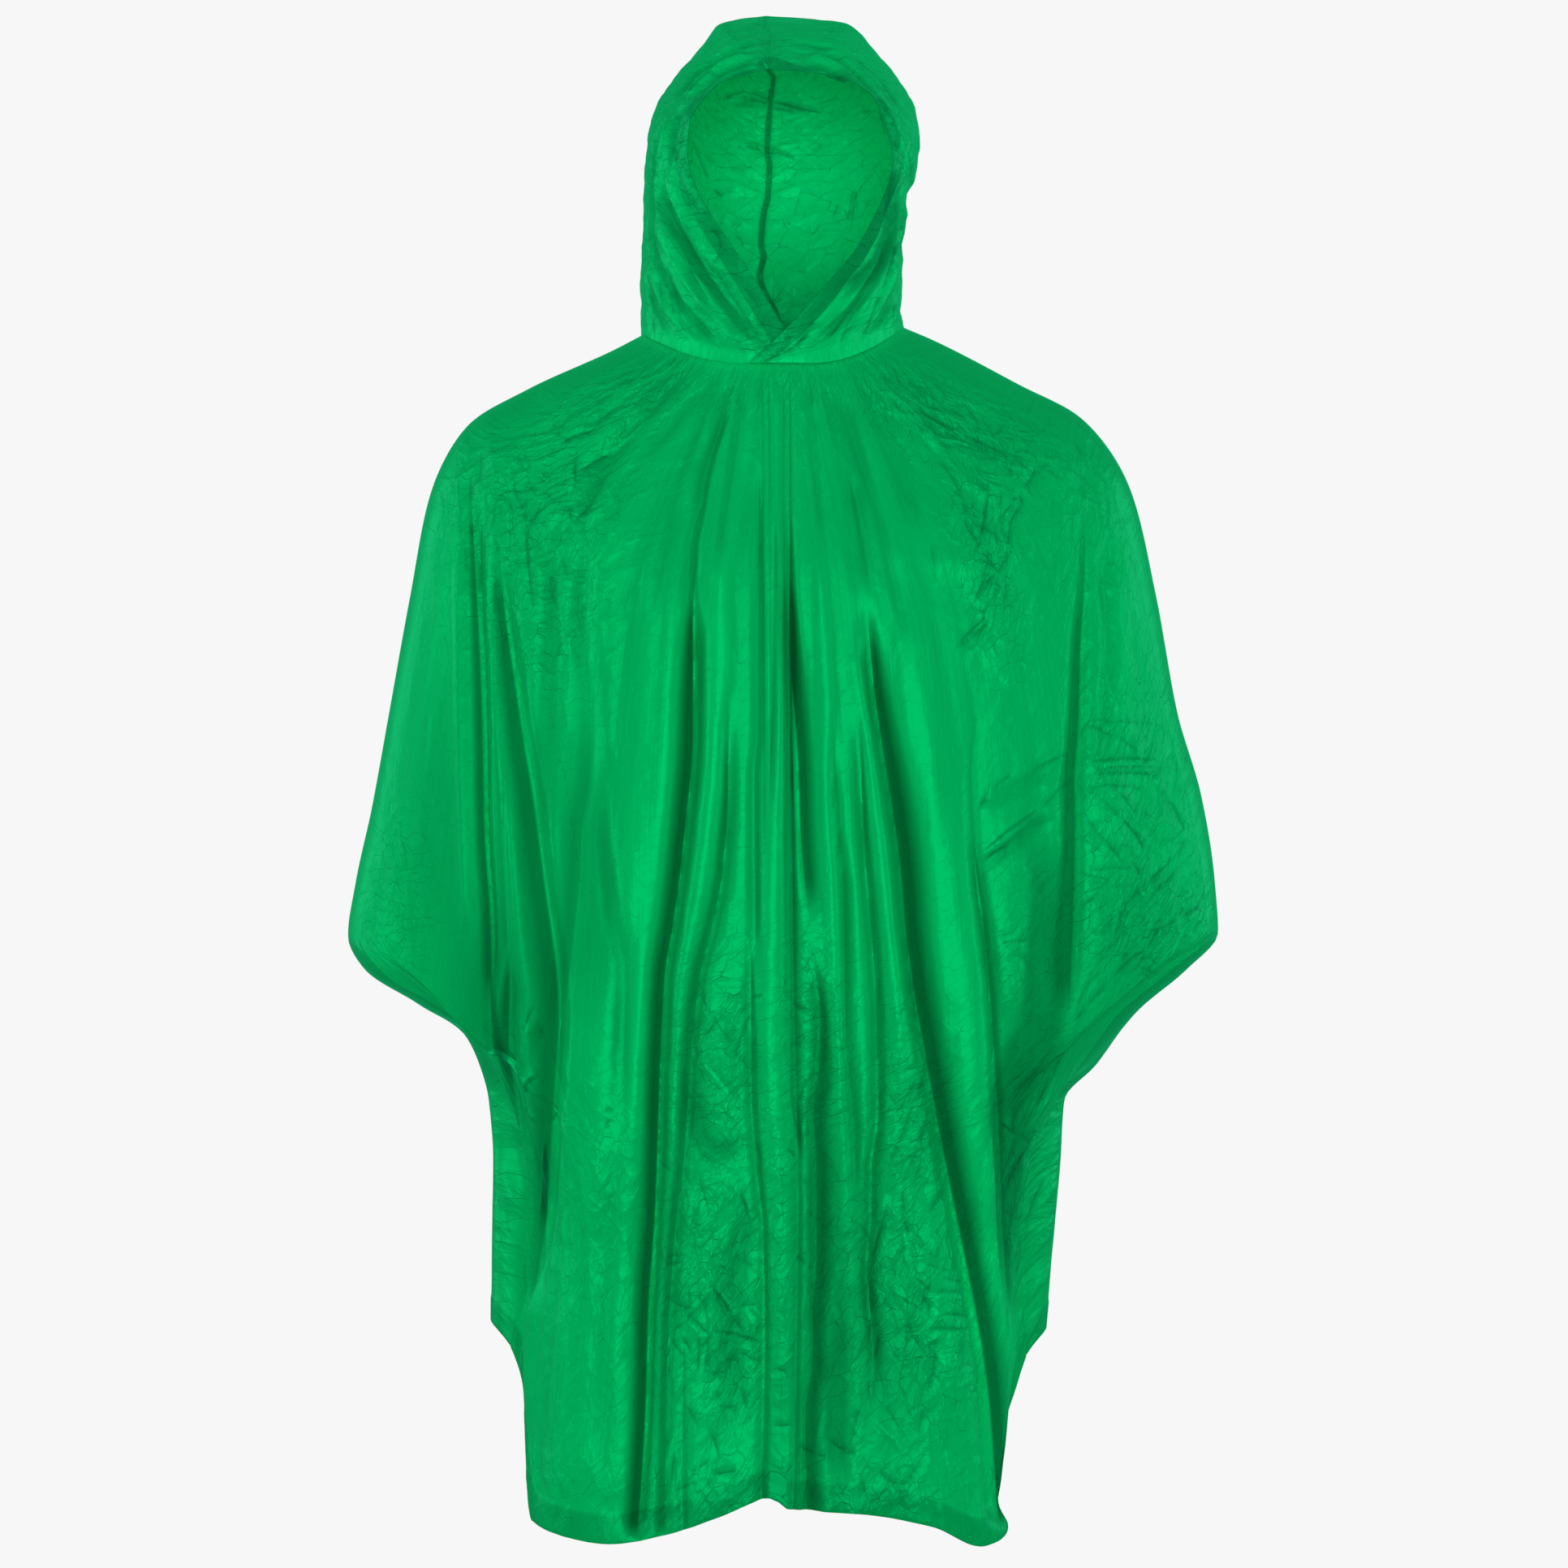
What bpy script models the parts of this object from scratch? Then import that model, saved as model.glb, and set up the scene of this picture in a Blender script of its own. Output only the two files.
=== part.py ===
"""Hooded rain poncho of thin vinyl film, in the hollow shape it takes when it is worn.

Frame: metres, +Z up, the front faces -Y and the wearer's left is at +X. The origin is the middle
of the neck, level with the top of the shoulders, where the wearer carries the garment.

The front and back panels hang from the neck seam over the shoulders and the arms. Each is a
stack of half rings, one for each section in a table, blended into one sheet, into which the
folds are pressed. The hood is two halves that meet at a seam over the crown and down the back,
the right-hand one lapping over the other under the chin.
"""

import math

import bmesh
import bpy
import numpy as np

# Driving sizes, in metres

WALL = 0.0015  # cloth wall
SEAM_GAP = 0.0003  # between two pieces along a seam
SEAM_LIP = 0.0020  # square strip along the shoulder, side and hood seams
SAME_POINT = 0.00001  # points this near are one
CENTRE_X = 0.005  # the centre front and the centre back

QUARTER = math.pi / 2

# Where folds fade out, as parts of the way
SIDE_FADE = (0.86, 0.98)  # from the centre of a panel to its side line
NECK_FADE = 0.06  # down a panel from its neck seam
FOLD_GROWS = 0.3  # along a fold from its first end
FOLD_DIES = 0.2  # along a fold to its last end
HOOD_NECK_FADE = 0.12  # up a hood half from its neck seam
HOOD_SIDE_FADE = (0.5, 0.7)  # round a hood half from its lip to its back seam

# The film's finish
FILM_COLOUR = (0.0, 0.37, 0.11)
HOOD_COLOUR = (0.0, 0.35, 0.11)
FILM_ROUGHNESS = 0.28

# Sections of the body, from the neck seam down to the hem. The side line is the top of the
# shoulder and arm as far as the sleeve corner, then the sleeve hem up to the underarm, then the
# side seam. mouth is how far each panel stands off the side line, and fin how far a side seam
# stands out as a flat edge. Of the quarter turn from the centre to the side line, the ring stays
# at the height of the centre up to level and is at that of the side from full on. square is the
# power of the ring's superellipse.
BODY_FIELDS = (
    "left_x", "left_z", "right_x", "right_z", "front_y", "front_z", "back_y", "back_z",
    "mouth", "fin", "level", "full", "square",
)
BODY_SECTIONS = {
    "neck seam": (
        -0.1036, 0.0096, 0.1035, 0.0160, -0.115, -0.024, 0.095, 0.020, 0.000, 0.000, 0.15, 1.0, 2.0),
    "collar": (
        -0.1240, -0.0010, 0.1250, 0.0070, -0.121, -0.052, 0.103, -0.008, 0.000, 0.000, 0.10, 1.0, 2.0),
    "shoulder": (
        -0.1932, -0.0325, 0.1930, -0.0280, -0.130, -0.122, 0.115, -0.074, 0.000, 0.000, 0.05, 1.0, 2.0),
    "shoulder edge": (
        -0.2400, -0.0610, 0.2440, -0.0560, -0.138, -0.185, 0.122, -0.138, 0.000, 0.000, 0.05, 1.0, 2.1),
    "shoulder point": (
        -0.2690, -0.1140, 0.2810, -0.1100, -0.144, -0.250, 0.127, -0.205, 0.000, 0.000, 0.05, 1.0, 2.2),
    "upper arm": (
        -0.2850, -0.1950, 0.3010, -0.1920, -0.147, -0.325, 0.129, -0.285, 0.000, 0.000, 0.10, 1.0, 2.3),
    "arm": (
        -0.3015, -0.2880, 0.3185, -0.2880, -0.150, -0.400, 0.130, -0.365, 0.000, 0.000, 0.15, 1.0, 2.4),
    "elbow": (
        -0.3150, -0.3620, 0.3370, -0.3520, -0.151, -0.460, 0.130, -0.430, 0.000, 0.000, 0.15, 1.0, 2.4),
    "forearm": (
        -0.3275, -0.4200, 0.3470, -0.4150, -0.152, -0.508, 0.129, -0.480, 0.000, 0.000, 0.20, 0.9, 2.4),
    "sleeve corner": (
        -0.3335, -0.4600, 0.3500, -0.4580, -0.152, -0.545, 0.128, -0.518, 0.000, 0.000, 0.20, 0.8, 2.4),
    "sleeve hem": (
        -0.3180, -0.4860, 0.3230, -0.4860, -0.152, -0.575, 0.127, -0.550, 0.026, 0.000, 0.25, 0.7, 2.4),
    "sleeve middle": (
        -0.2740, -0.5130, 0.2800, -0.5210, -0.152, -0.610, 0.126, -0.588, 0.040, 0.000, 0.25, 0.7, 2.5),
    "sleeve inside": (
        -0.2390, -0.5400, 0.2530, -0.5610, -0.152, -0.648, 0.125, -0.628, 0.024, 0.008, 0.30, 0.8, 2.6),
    "underarm": (
        -0.2240, -0.5900, 0.2300, -0.5920, -0.151, -0.690, 0.124, -0.672, 0.000, 0.020, 0.40, 1.0, 2.8),
    "side": (
        -0.2200, -0.6400, 0.2265, -0.6400, -0.151, -0.745, 0.123, -0.728, 0.000, 0.026, 0.45, 1.0, 3.2),
    "side seam end": (
        -0.2208, -0.7150, 0.2195, -0.7150, -0.150, -0.830, 0.121, -0.815, 0.000, 0.031, 0.62, 1.0, 3.8),
    "hem": (
        -0.2208, -0.7620, 0.2145, -0.7680, -0.149, -0.884, 0.120, -0.874, 0.000, 0.029, 0.72, 1.0, 4.4),
}
NECK, SLEEVE_CORNER, UNDERARM, HEM = "neck seam", "sleeve corner", "underarm", "hem"
FIN_FROM = 0.90  # part of the quarter turn at which a fin begins

# How far the bottom hem hangs below its height at the centre: rows of x and dip
FRONT_HEM_DIP = (
    (-0.215, 0.010), (-0.155, 0.026), (-0.125, 0.029), (-0.075, 0.020), (-0.040, 0.008),
    (0.000, -0.006), (0.012, 0.002), (0.070, 0.006), (0.120, 0.016), (0.160, 0.034), (0.215, 0.010),
)
BACK_HEM_DIP = (
    (-0.215, 0.010), (-0.145, 0.028), (-0.060, 0.010), (0.010, 0.000), (0.070, 0.008),
    (0.150, 0.030), (0.215, 0.010),
)
HEM_DIP_FROM = -0.60  # height under which the hem's dips begin to show

# Folds of the body: a curve in the view from the front, from one end past a middle point to the
# other end, with the half width of the fold and how far it stands out, or dips where negative.
FOLD_FIELDS = ("x0", "z0", "x1", "z1", "x2", "z2", "half_width", "rise")
FRONT_FOLDS = {
    "left of centre":    (-0.048, -0.080, -0.086, -0.500, -0.107, -0.960, 0.0125, -0.0230),
    "plateau":           (-0.030, -0.120, -0.050, -0.320, -0.066, -0.560, 0.0150, 0.0070),
    "centre left":       (-0.010, -0.110, -0.014, -0.290, -0.030, -0.440, 0.0110, -0.0090),
    "centre strip":      (0.004, -0.020, 0.004, -0.450, 0.004, -0.960, 0.0120, 0.0060),
    "centre right":      (0.018, -0.140, 0.026, -0.270, 0.040, -0.400, 0.0110, -0.0100),
    "right plateau":     (0.036, -0.120, 0.060, -0.300, 0.086, -0.560, 0.0140, 0.0070),
    "right inner":       (0.052, -0.300, 0.064, -0.560, 0.057, -0.860, 0.0120, -0.0120),
    "right long":        (0.062, -0.110, 0.116, -0.520, 0.174, -0.960, 0.0130, -0.0240),
    "right long roll":   (0.092, -0.160, 0.156, -0.520, 0.186, -0.960, 0.0170, 0.0110),
    "right sleeve":      (0.247, -0.070, 0.245, -0.300, 0.233, -0.520, 0.0140, -0.0180),
    "left sleeve outer": (-0.250, -0.100, -0.234, -0.310, -0.224, -0.500, 0.0120, -0.0120),
    "left sleeve roll":  (-0.234, -0.160, -0.206, -0.360, -0.190, -0.500, 0.0110, 0.0080),
    "left sleeve inner": (-0.223, -0.250, -0.178, -0.490, -0.188, -0.760, 0.0140, -0.0170),
    "left chest":        (-0.160, -0.230, -0.138, -0.350, -0.132, -0.520, 0.0140, -0.0110),
    "left roll":         (-0.090, -0.200, -0.116, -0.480, -0.126, -0.720, 0.0180, 0.0100),
    "left hem roll":     (-0.150, -0.560, -0.150, -0.740, -0.152, -0.960, 0.0180, 0.0080),
    "low middle":        (-0.050, -0.500, -0.062, -0.640, -0.070, -0.900, 0.0130, -0.0090),
    "low belly":         (-0.050, -0.500, -0.034, -0.600, -0.024, -0.680, 0.0140, 0.0080),
    "low right":         (0.100, -0.640, 0.112, -0.780, 0.100, -0.920, 0.0130, -0.0110),
}
BACK_FOLDS = {
    "right long":        (0.050, -0.080, 0.082, -0.480, 0.104, -0.960, 0.0150, -0.0220),
    "right roll":        (0.078, -0.180, 0.112, -0.480, 0.132, -0.960, 0.0180, 0.0090),
    "right shallow":     (0.140, -0.240, 0.152, -0.460, 0.156, -0.760, 0.0150, -0.0130),
    "right sleeve":      (0.236, -0.110, 0.240, -0.320, 0.234, -0.500, 0.0150, -0.0170),
    "centre":            (0.004, -0.060, 0.000, -0.400, 0.012, -0.960, 0.0150, -0.0150),
    "centre roll":       (0.030, -0.140, 0.034, -0.420, 0.050, -0.960, 0.0160, 0.0080),
    "left shallow":      (-0.042, -0.110, -0.060, -0.420, -0.056, -0.960, 0.0150, -0.0160),
    "left roll":         (-0.080, -0.160, -0.094, -0.420, -0.100, -0.960, 0.0170, 0.0090),
    "left long":         (-0.108, -0.160, -0.146, -0.520, -0.148, -0.960, 0.0150, -0.0210),
    "left sleeve":       (-0.236, -0.100, -0.230, -0.310, -0.222, -0.490, 0.0150, -0.0160),
}

# Folds that a column of the grid follows, in the left half and in the right, from the centre out
FRONT_GUIDES = (("left of centre", "left sleeve inner"), ("right long", "right sleeve"))
BACK_GUIDES = (("left long", "left sleeve"), ("right long", "right sleeve"))
GUIDES_APART = 0.15  # part of the ring between one guide and the next
LAST_GUIDE = 0.94  # a guide comes no nearer to the side line than this part of the ring
FOLD_POINTS = 60

# Sections of the hood, from the neck seam up to the seam over the crown. lip is the edge round
# the face, side the widest point, and back the seam down the back of the head.
HOOD_FIELDS = ("lip_x", "lip_y", "lip_z", "side_x", "side_y", "side_z", "back_y", "back_z")
HOOD_LEFT_SECTIONS = {
    "neck":       (0.0240, -0.111, -0.024, -0.1036, 0.000, 0.0096, 0.0950, 0.020),
    "chin":       (0.0100, -0.112, 0.002, -0.1040, -0.002, 0.0420, 0.0950, 0.050),
    "jaw":        (-0.0090, -0.113, 0.033, -0.1035, -0.004, 0.0700, 0.1000, 0.085),
    "cheek":      (-0.0290, -0.114, 0.063, -0.1018, -0.006, 0.0960, 0.1060, 0.115),
    "nose":       (-0.0460, -0.114, 0.088, -0.1015, -0.006, 0.1220, 0.1110, 0.142),
    "eye":        (-0.0585, -0.113, 0.112, -0.0998, -0.006, 0.1470, 0.1140, 0.164),
    "brow":       (-0.0640, -0.112, 0.137, -0.0975, -0.004, 0.1700, 0.1140, 0.182),
    "forehead":   (-0.0620, -0.112, 0.160, -0.0900, 0.000, 0.1930, 0.1120, 0.198),
    "brim":       (-0.0500, -0.114, 0.178, -0.0790, 0.006, 0.2110, 0.1080, 0.212),
    "upper brim": (-0.0320, -0.117, 0.190, -0.0620, 0.010, 0.2320, 0.1030, 0.224),
    "crown side": (-0.0120, -0.120, 0.196, -0.0360, 0.015, 0.2540, 0.0970, 0.234),
    "crown":      (0.0070, -0.122, 0.198, 0.0070, 0.020, 0.2665, 0.0900, 0.243),
}
HOOD_RIGHT_SECTIONS = {
    "neck":       (-0.0180, -0.116, -0.024, 0.1035, 0.000, 0.0160, 0.0950, 0.020),
    "chin":       (0.0110, -0.117, 0.002, 0.1010, -0.002, 0.0330, 0.0950, 0.050),
    "jaw":        (0.0450, -0.117, 0.040, 0.1025, -0.004, 0.0600, 0.1000, 0.085),
    "cheek":      (0.0660, -0.116, 0.066, 0.1045, -0.006, 0.0860, 0.1060, 0.115),
    "nose":       (0.0780, -0.115, 0.088, 0.1070, -0.006, 0.1120, 0.1110, 0.142),
    "eye":        (0.0880, -0.113, 0.110, 0.1130, -0.006, 0.1380, 0.1140, 0.164),
    "brow":       (0.0920, -0.112, 0.134, 0.1160, -0.004, 0.1620, 0.1140, 0.182),
    "forehead":   (0.0870, -0.112, 0.160, 0.1120, 0.000, 0.1880, 0.1120, 0.198),
    "brim":       (0.0760, -0.114, 0.178, 0.1000, 0.006, 0.2110, 0.1080, 0.212),
    "upper brim": (0.0560, -0.117, 0.190, 0.0830, 0.010, 0.2330, 0.1030, 0.224),
    "crown side": (0.0330, -0.120, 0.196, 0.0560, 0.015, 0.2600, 0.0970, 0.234),
    "crown":      (0.0070, -0.122, 0.198, 0.0070, 0.020, 0.2665, 0.0900, 0.243),
}
HOOD_SEAM_X = 0.007  # the crown and back seam at the top, and CENTRE_X at the neck
LIP_REACH = 0.98  # the lip stays within this part of the half width

HOOD_LEFT_FOLDS = {
    "drag low":    (-0.014, -0.010, -0.060, 0.020, -0.090, 0.060, 0.0070, -0.0040),
    "drag middle": (-0.024, 0.006, -0.064, 0.060, -0.092, 0.110, 0.0070, -0.0040),
    "drag lip":    (-0.034, 0.036, -0.066, 0.084, -0.086, 0.140, 0.0060, 0.0030),
}
HOOD_RIGHT_FOLDS = {
    "drag low":    (0.018, -0.010, 0.056, 0.014, 0.088, 0.050, 0.0070, -0.0040),
    "drag middle": (0.036, 0.010, 0.070, 0.042, 0.094, 0.090, 0.0070, -0.0040),
    "drag lip":    (0.060, 0.040, 0.084, 0.070, 0.098, 0.104, 0.0060, 0.0030),
}

# Grid of each piece: rows down each stretch of the body, columns across, and rows up the hood
ROWS_TO_CORNER = 13
ROWS_ALONG_SLEEVE = 6
ROWS_TO_HEM = 9
FRONT_HALF_COLUMNS = 34
BACK_HALF_COLUMNS = 21
HOOD_ROWS = 15
HOOD_COLUMNS = 17
DENSE = 480  # points along a ring before it is spaced evenly


def smooth(t):
    """0 to 1 with level ends: three t squared less two t cubed."""
    t = np.clip(t, 0.0, 1.0)
    return t * t * (3 - 2 * t)


def blended(knots, values, at):
    """The cubic curve through (knots, values) that never overshoots them, read at the places at."""
    knots, values = np.asarray(knots, float), np.asarray(values, float)
    step = np.diff(knots)
    slope = np.diff(values) / step
    tangent = np.zeros_like(values)
    rising = slope[:-1] * slope[1:] > 0
    weight_a = 2 * step[1:] + step[:-1]
    weight_b = step[1:] + 2 * step[:-1]
    with np.errstate(divide="ignore", invalid="ignore"):
        mean = (weight_a + weight_b) / (weight_a / slope[:-1] + weight_b / slope[1:])
    tangent[1:-1] = np.where(rising, mean, 0.0)
    tangent[0], tangent[-1] = slope[0], slope[-1]
    place = np.clip(np.searchsorted(knots, at, side="right") - 1, 0, len(step) - 1)
    t = (at - knots[place]) / step[place]
    run = step[place]
    return (
        (1 + 2 * t) * (1 - t) ** 2 * values[place]
        + t * (1 - t) ** 2 * run * tangent[place]
        + t * t * (3 - 2 * t) * values[place + 1]
        + t * t * (t - 1) * run * tangent[place + 1]
    )


def column(sections, fields, name):
    """One named column of a table of sections."""
    return np.array([row[fields.index(name)] for row in sections.values()])


def body_knots():
    """How far down the cloth each section lies, the mean along the left, right and front lines."""
    lines = (("left_x", "left_z"), ("right_x", "right_z"), ("front_y", "front_z"))
    total = 0.0
    for pair in lines:
        points = np.stack([column(BODY_SECTIONS, BODY_FIELDS, name) for name in pair], axis=1)
        total = total + np.linalg.norm(np.diff(points, axis=0), axis=1)
    return np.concatenate([[0.0], np.cumsum(total / len(lines))])


def body_stations(knots):
    """The places of the rows: evenly down each of the three stretches, with a row on each end."""
    names = list(BODY_SECTIONS)
    ends = [knots[names.index(name)] for name in (NECK, SLEEVE_CORNER, UNDERARM, HEM)]
    counts = (ROWS_TO_CORNER, ROWS_ALONG_SLEEVE, ROWS_TO_HEM)
    stretches = [
        np.linspace(low, high, count, endpoint=False)
        for low, high, count in zip(ends, ends[1:], counts)
    ]
    return np.concatenate(stretches + [[ends[-1]]])


def fold_path(fold):
    """x and z along a fold: the parabola through its two ends and its middle point, and its own place."""
    x0, z0, x1, z1, x2, z2 = fold[:6]
    t = np.linspace(0.0, 1.0, FOLD_POINTS)
    start, middle, end = (1 - t) * (1 - 2 * t), 4 * t * (1 - t), t * (2 * t - 1)
    return x0 * start + x1 * middle + x2 * end, z0 * start + z1 * middle + z2 * end, t


def crossings(ring, length, guides):
    """How far along a ring, from 0 to 1, it comes nearest to each guiding fold."""
    found = []
    for fold in guides:
        x, z, _ = fold_path(fold)
        gap = np.hypot(ring[:, 0, None] - x, ring[:, 2, None] - z).min(axis=1)
        found.append(min(length[gap.argmin()] / length[-1], LAST_GUIDE))
    return np.array(found)


def evened(rows, times=3):
    """Rows of values, each moved towards the mean of its neighbours a few times, with the ends kept."""
    for _ in range(times):
        rows = np.concatenate([rows[:1], (rows[:-2] + 2 * rows[1:-1] + rows[2:]) / 4, rows[-1:]])
    return rows


def half_ring(side_x, side_z, centre_y, centre_z, mouth, fin, level, full, square):
    """A quarter of a section, from the centre line to the side line, and how far along each point is.

    A superellipse in plan: x runs from the centre out to the side as a power of the sine of the
    turn, y from the panel's depth to the side line as a power of its cosine, and a fin carries
    the last of it straight out. The height turns from that of the centre to that of the side.
    """
    turn = np.linspace(0.0, 1.0, DENSE)
    away = math.copysign(1.0, centre_y)
    edge_y = away * (mouth + SEAM_GAP / 2 + SEAM_LIP)
    reach = abs(side_x - CENTRE_X) - fin
    along = np.sin(turn * QUARTER) ** (2 / square)
    across = np.cos(turn * QUARTER).clip(0.0) ** (2 / square)
    out = reach * along + fin * smooth((turn - FIN_FROM) / (1 - FIN_FROM))
    x = CENTRE_X + math.copysign(1.0, side_x) * out
    y = edge_y + (centre_y - edge_y) * across
    z = centre_z + (side_z - centre_z) * smooth((turn - level) / (full - level))
    ring = np.stack([x, y, z], axis=1)
    length = np.concatenate([[0.0], np.cumsum(np.linalg.norm(np.diff(ring, axis=0), axis=1))])
    return ring, length


def half_panel(which, side, half_columns, guides):
    """Half of a panel, each row from the centre to the side line and then over the seam's strip.

    Each guide is a fold that one column follows down the cloth, and the others keep even
    distances between the centre, the guides and the side line.
    """
    knots = body_knots()
    stations = body_stations(knots)
    ends = [side + "_x", side + "_z", which + "_y", which + "_z"]
    names = ends + ["mouth", "fin", "level", "full", "square"]
    at = np.stack(
        [blended(knots, column(BODY_SECTIONS, BODY_FIELDS, name), stations) for name in names], axis=1
    )
    rings = [half_ring(*row) for row in at]
    crossed = evened(np.array([crossings(ring, length, guides) for ring, length in rings]))
    crossed[:, 1] = np.maximum(crossed[:, 1], crossed[:, 0] + GUIDES_APART)
    homes = np.round(crossed.mean(axis=0) * (half_columns - 1)) / (half_columns - 1)
    even = np.linspace(0.0, 1.0, half_columns)
    rows = []
    for (ring, length), cross in zip(rings, crossed):
        places = np.interp(even, [0.0, *homes, 1.0], [0.0, *cross, 1.0])
        rows.append(np.stack([np.interp(places * length[-1], length, axis) for axis in ring.T], axis=1))
    rows = np.array(rows)
    away = np.sign(rows[:, :1, 1])
    edge = rows[:, -1:].copy()
    edge[..., 1] -= away * SEAM_LIP
    return np.concatenate([rows, edge], axis=1)


def panel_grid(which, half_columns, folds, guides):
    """The smooth sheet of one panel, rows from the neck to the hem and columns from left to right."""
    left = half_panel(which, "left", half_columns, [folds[name] for name in guides[0]])
    right = half_panel(which, "right", half_columns, [folds[name] for name in guides[1]])
    return np.concatenate([left[:, ::-1], right[:, 1:]], axis=1)


def with_hem_dip(grid, dips):
    """The hem's own line: each column is let down by its dip, growing from nothing to the hem."""
    x, dip = np.array(dips).T
    drop = blended(x, dip, np.clip(grid[..., 0], x[0], x[-1]))
    centre = grid[:, grid.shape[1] // 2, 2]
    share = smooth((HEM_DIP_FROM - centre) / (HEM_DIP_FROM - centre[-1]))
    moved = grid.copy()
    moved[..., 2] -= drop * share[:, None] * side_fade(grid.shape[1])[None, :]
    return moved


def side_fade(columns):
    """1 over a panel and 0 on its two side lines, so what is pressed into it leaves its seams alone."""
    place = np.abs(np.linspace(-1.0, 1.0, columns))
    start, end = SIDE_FADE
    return 1 - smooth((place - start) / (end - start))


def fold_rise(grid, folds):
    """How far each point is moved along its normal by a table of folds.

    Each fold is a parabola through its two ends, pulled by its middle point. Its rise falls off as
    the bell curve of the distance to it, in the view from the front, and fades at both ends.
    """
    total = np.zeros(grid.shape[:-1])
    for fold in folds.values():
        half_width, rise = (fold[FOLD_FIELDS.index(name)] for name in ("half_width", "rise"))
        x, z, t = fold_path(fold)
        gap = np.hypot(grid[..., 0, None] - x, grid[..., 2, None] - z)
        nearest = gap.argmin(axis=-1)
        fade = smooth(t[nearest] / FOLD_GROWS) * smooth((1 - t[nearest]) / FOLD_DIES)
        total += rise * fade * np.exp(-((gap.min(axis=-1) / half_width) ** 2))
    return total


def normals_of(grid):
    """Unit normals of a grid, from the slopes along its rows and columns."""
    down = np.gradient(grid, axis=0)
    across = np.gradient(grid, axis=1)
    normal = np.cross(across, down)
    return normal / np.maximum(np.linalg.norm(normal, axis=-1, keepdims=True), 1e-12)


def panel(which, half_columns, folds, guides, dips):
    """One panel with its folds. Its columns run to the right as seen from outside."""
    grid = panel_grid(which, half_columns, folds, guides)
    if which == "back":
        grid = grid[:, ::-1]
    grid = with_hem_dip(grid, dips)
    rows = np.linspace(0.0, 1.0, len(grid))
    keep = smooth(rows / NECK_FADE)[:, None] * side_fade(grid.shape[1])[None, :]
    outward = -evened(evened(normals_of(grid)).swapaxes(0, 1)).swapaxes(0, 1)
    return grid + outward * (fold_rise(grid, folds) * keep)[..., None]


def hood_row(lip, side, back, seam_x, places):
    """One level of a hood half, from the lip round the side to the back seam.

    An ellipse in plan about the side's own place: x is the half width times the sine of the
    turn, and y the depth in front or behind times its cosine. The turn runs from where the lip
    cuts the ellipse to a half turn at the back, and the height from the lip to the side to the
    back.
    """
    reach = max(abs(side[0] - seam_x), 1e-6)
    hand = 1.0 if side[0] >= seam_x else -1.0
    lip_reach = np.clip((lip[0] - seam_x) * hand / reach, -LIP_REACH, LIP_REACH)
    lip_turn = math.asin(lip_reach)
    front_depth = (side[1] - lip[1]) / math.cos(lip_turn)
    turn = np.linspace(lip_turn, math.pi, DENSE)
    x = seam_x + hand * reach * np.sin(turn)
    depth = np.where(turn < QUARTER, front_depth, back[0] - side[1])
    y = side[1] - depth * np.cos(turn)
    ahead = smooth((QUARTER - turn) / (QUARTER - lip_turn))
    behind = smooth((turn - QUARTER) / QUARTER)
    z = side[2] + (lip[2] - side[2]) * ahead + (back[1] - side[2]) * behind
    ring = np.stack([x, y, z], axis=1)
    length = np.concatenate([[0.0], np.cumsum(np.linalg.norm(np.diff(ring, axis=0), axis=1))])
    at = np.interp(places * length[-1], length, turn)
    return np.stack([np.interp(at, turn, axis) for axis in ring.T], axis=1), at


def hood_grid(sections, places_up, columns):
    """The smooth sheet of a hood half, rows from the neck up and columns from the lip to the seam."""
    knots = np.linspace(0.0, 1.0, len(sections))
    at = {name: blended(knots, column(sections, HOOD_FIELDS, name), places_up) for name in HOOD_FIELDS}
    seam_x = CENTRE_X + (HOOD_SEAM_X - CENTRE_X) * smooth(places_up)
    places = np.linspace(0.0, 1.0, columns)
    rows = []
    for i in range(len(places_up)):
        row, turn = hood_row(
            (at["lip_x"][i], at["lip_y"][i], at["lip_z"][i]),
            (at["side_x"][i], at["side_y"][i], at["side_z"][i]),
            (at["back_y"][i], at["back_z"][i]),
            seam_x[i],
            places,
        )
        if i == 0:
            row[:, 2] = neck_height(turn, at["side_z"][0]) + SEAM_GAP
        rows.append(row)
    return np.array(rows)


def neck_height(turn, side_z):
    """Height of the neck seam at a turn from the front, the same as that of the body's first ring."""
    row = dict(zip(BODY_FIELDS, BODY_SECTIONS[NECK]))
    part = np.where(turn < QUARTER, np.abs(turn), math.pi - turn) / QUARTER
    rise = smooth((part - row["level"]) / (1 - row["level"]))
    middle = np.where(turn < QUARTER, row["front_z"], row["back_z"])
    return middle + (side_z - middle) * rise


def hood_half(sections, folds):
    """One hood half, with a square strip along the back and crown seam so that the halves meet flat."""
    grid = hood_grid(sections, np.linspace(0.0, 1.0, HOOD_ROWS), HOOD_COLUMNS)
    hand = 1.0 if grid[2, HOOD_COLUMNS // 2, 0] > HOOD_SEAM_X else -1.0
    away = hand * (SEAM_GAP / 2 + SEAM_LIP)
    share = np.zeros(grid.shape[:2])
    share[:, -1] = 1.0
    share[-1, :] = 1.0
    moved = grid.copy()
    moved[..., 0] += away * share
    outward = normals_of(moved) * hand
    rows = np.linspace(0.0, 1.0, HOOD_ROWS)[:, None]
    across = np.linspace(0.0, 1.0, HOOD_COLUMNS)[None, :]
    start, end = HOOD_SIDE_FADE
    keep = smooth(rows / HOOD_NECK_FADE) * (1 - smooth((across - start) / (end - start)))
    moved = moved + outward * (fold_rise(moved, folds) * keep)[..., None]
    strip = np.array([hand * SEAM_LIP, 0.0, 0.0])
    moved = np.concatenate([moved, moved[-1:] - strip], axis=0)
    moved = np.concatenate([moved, moved[:, -1:] - strip], axis=1)
    moved[-1, -1] = moved[-2, -1]
    return moved, hand


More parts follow.
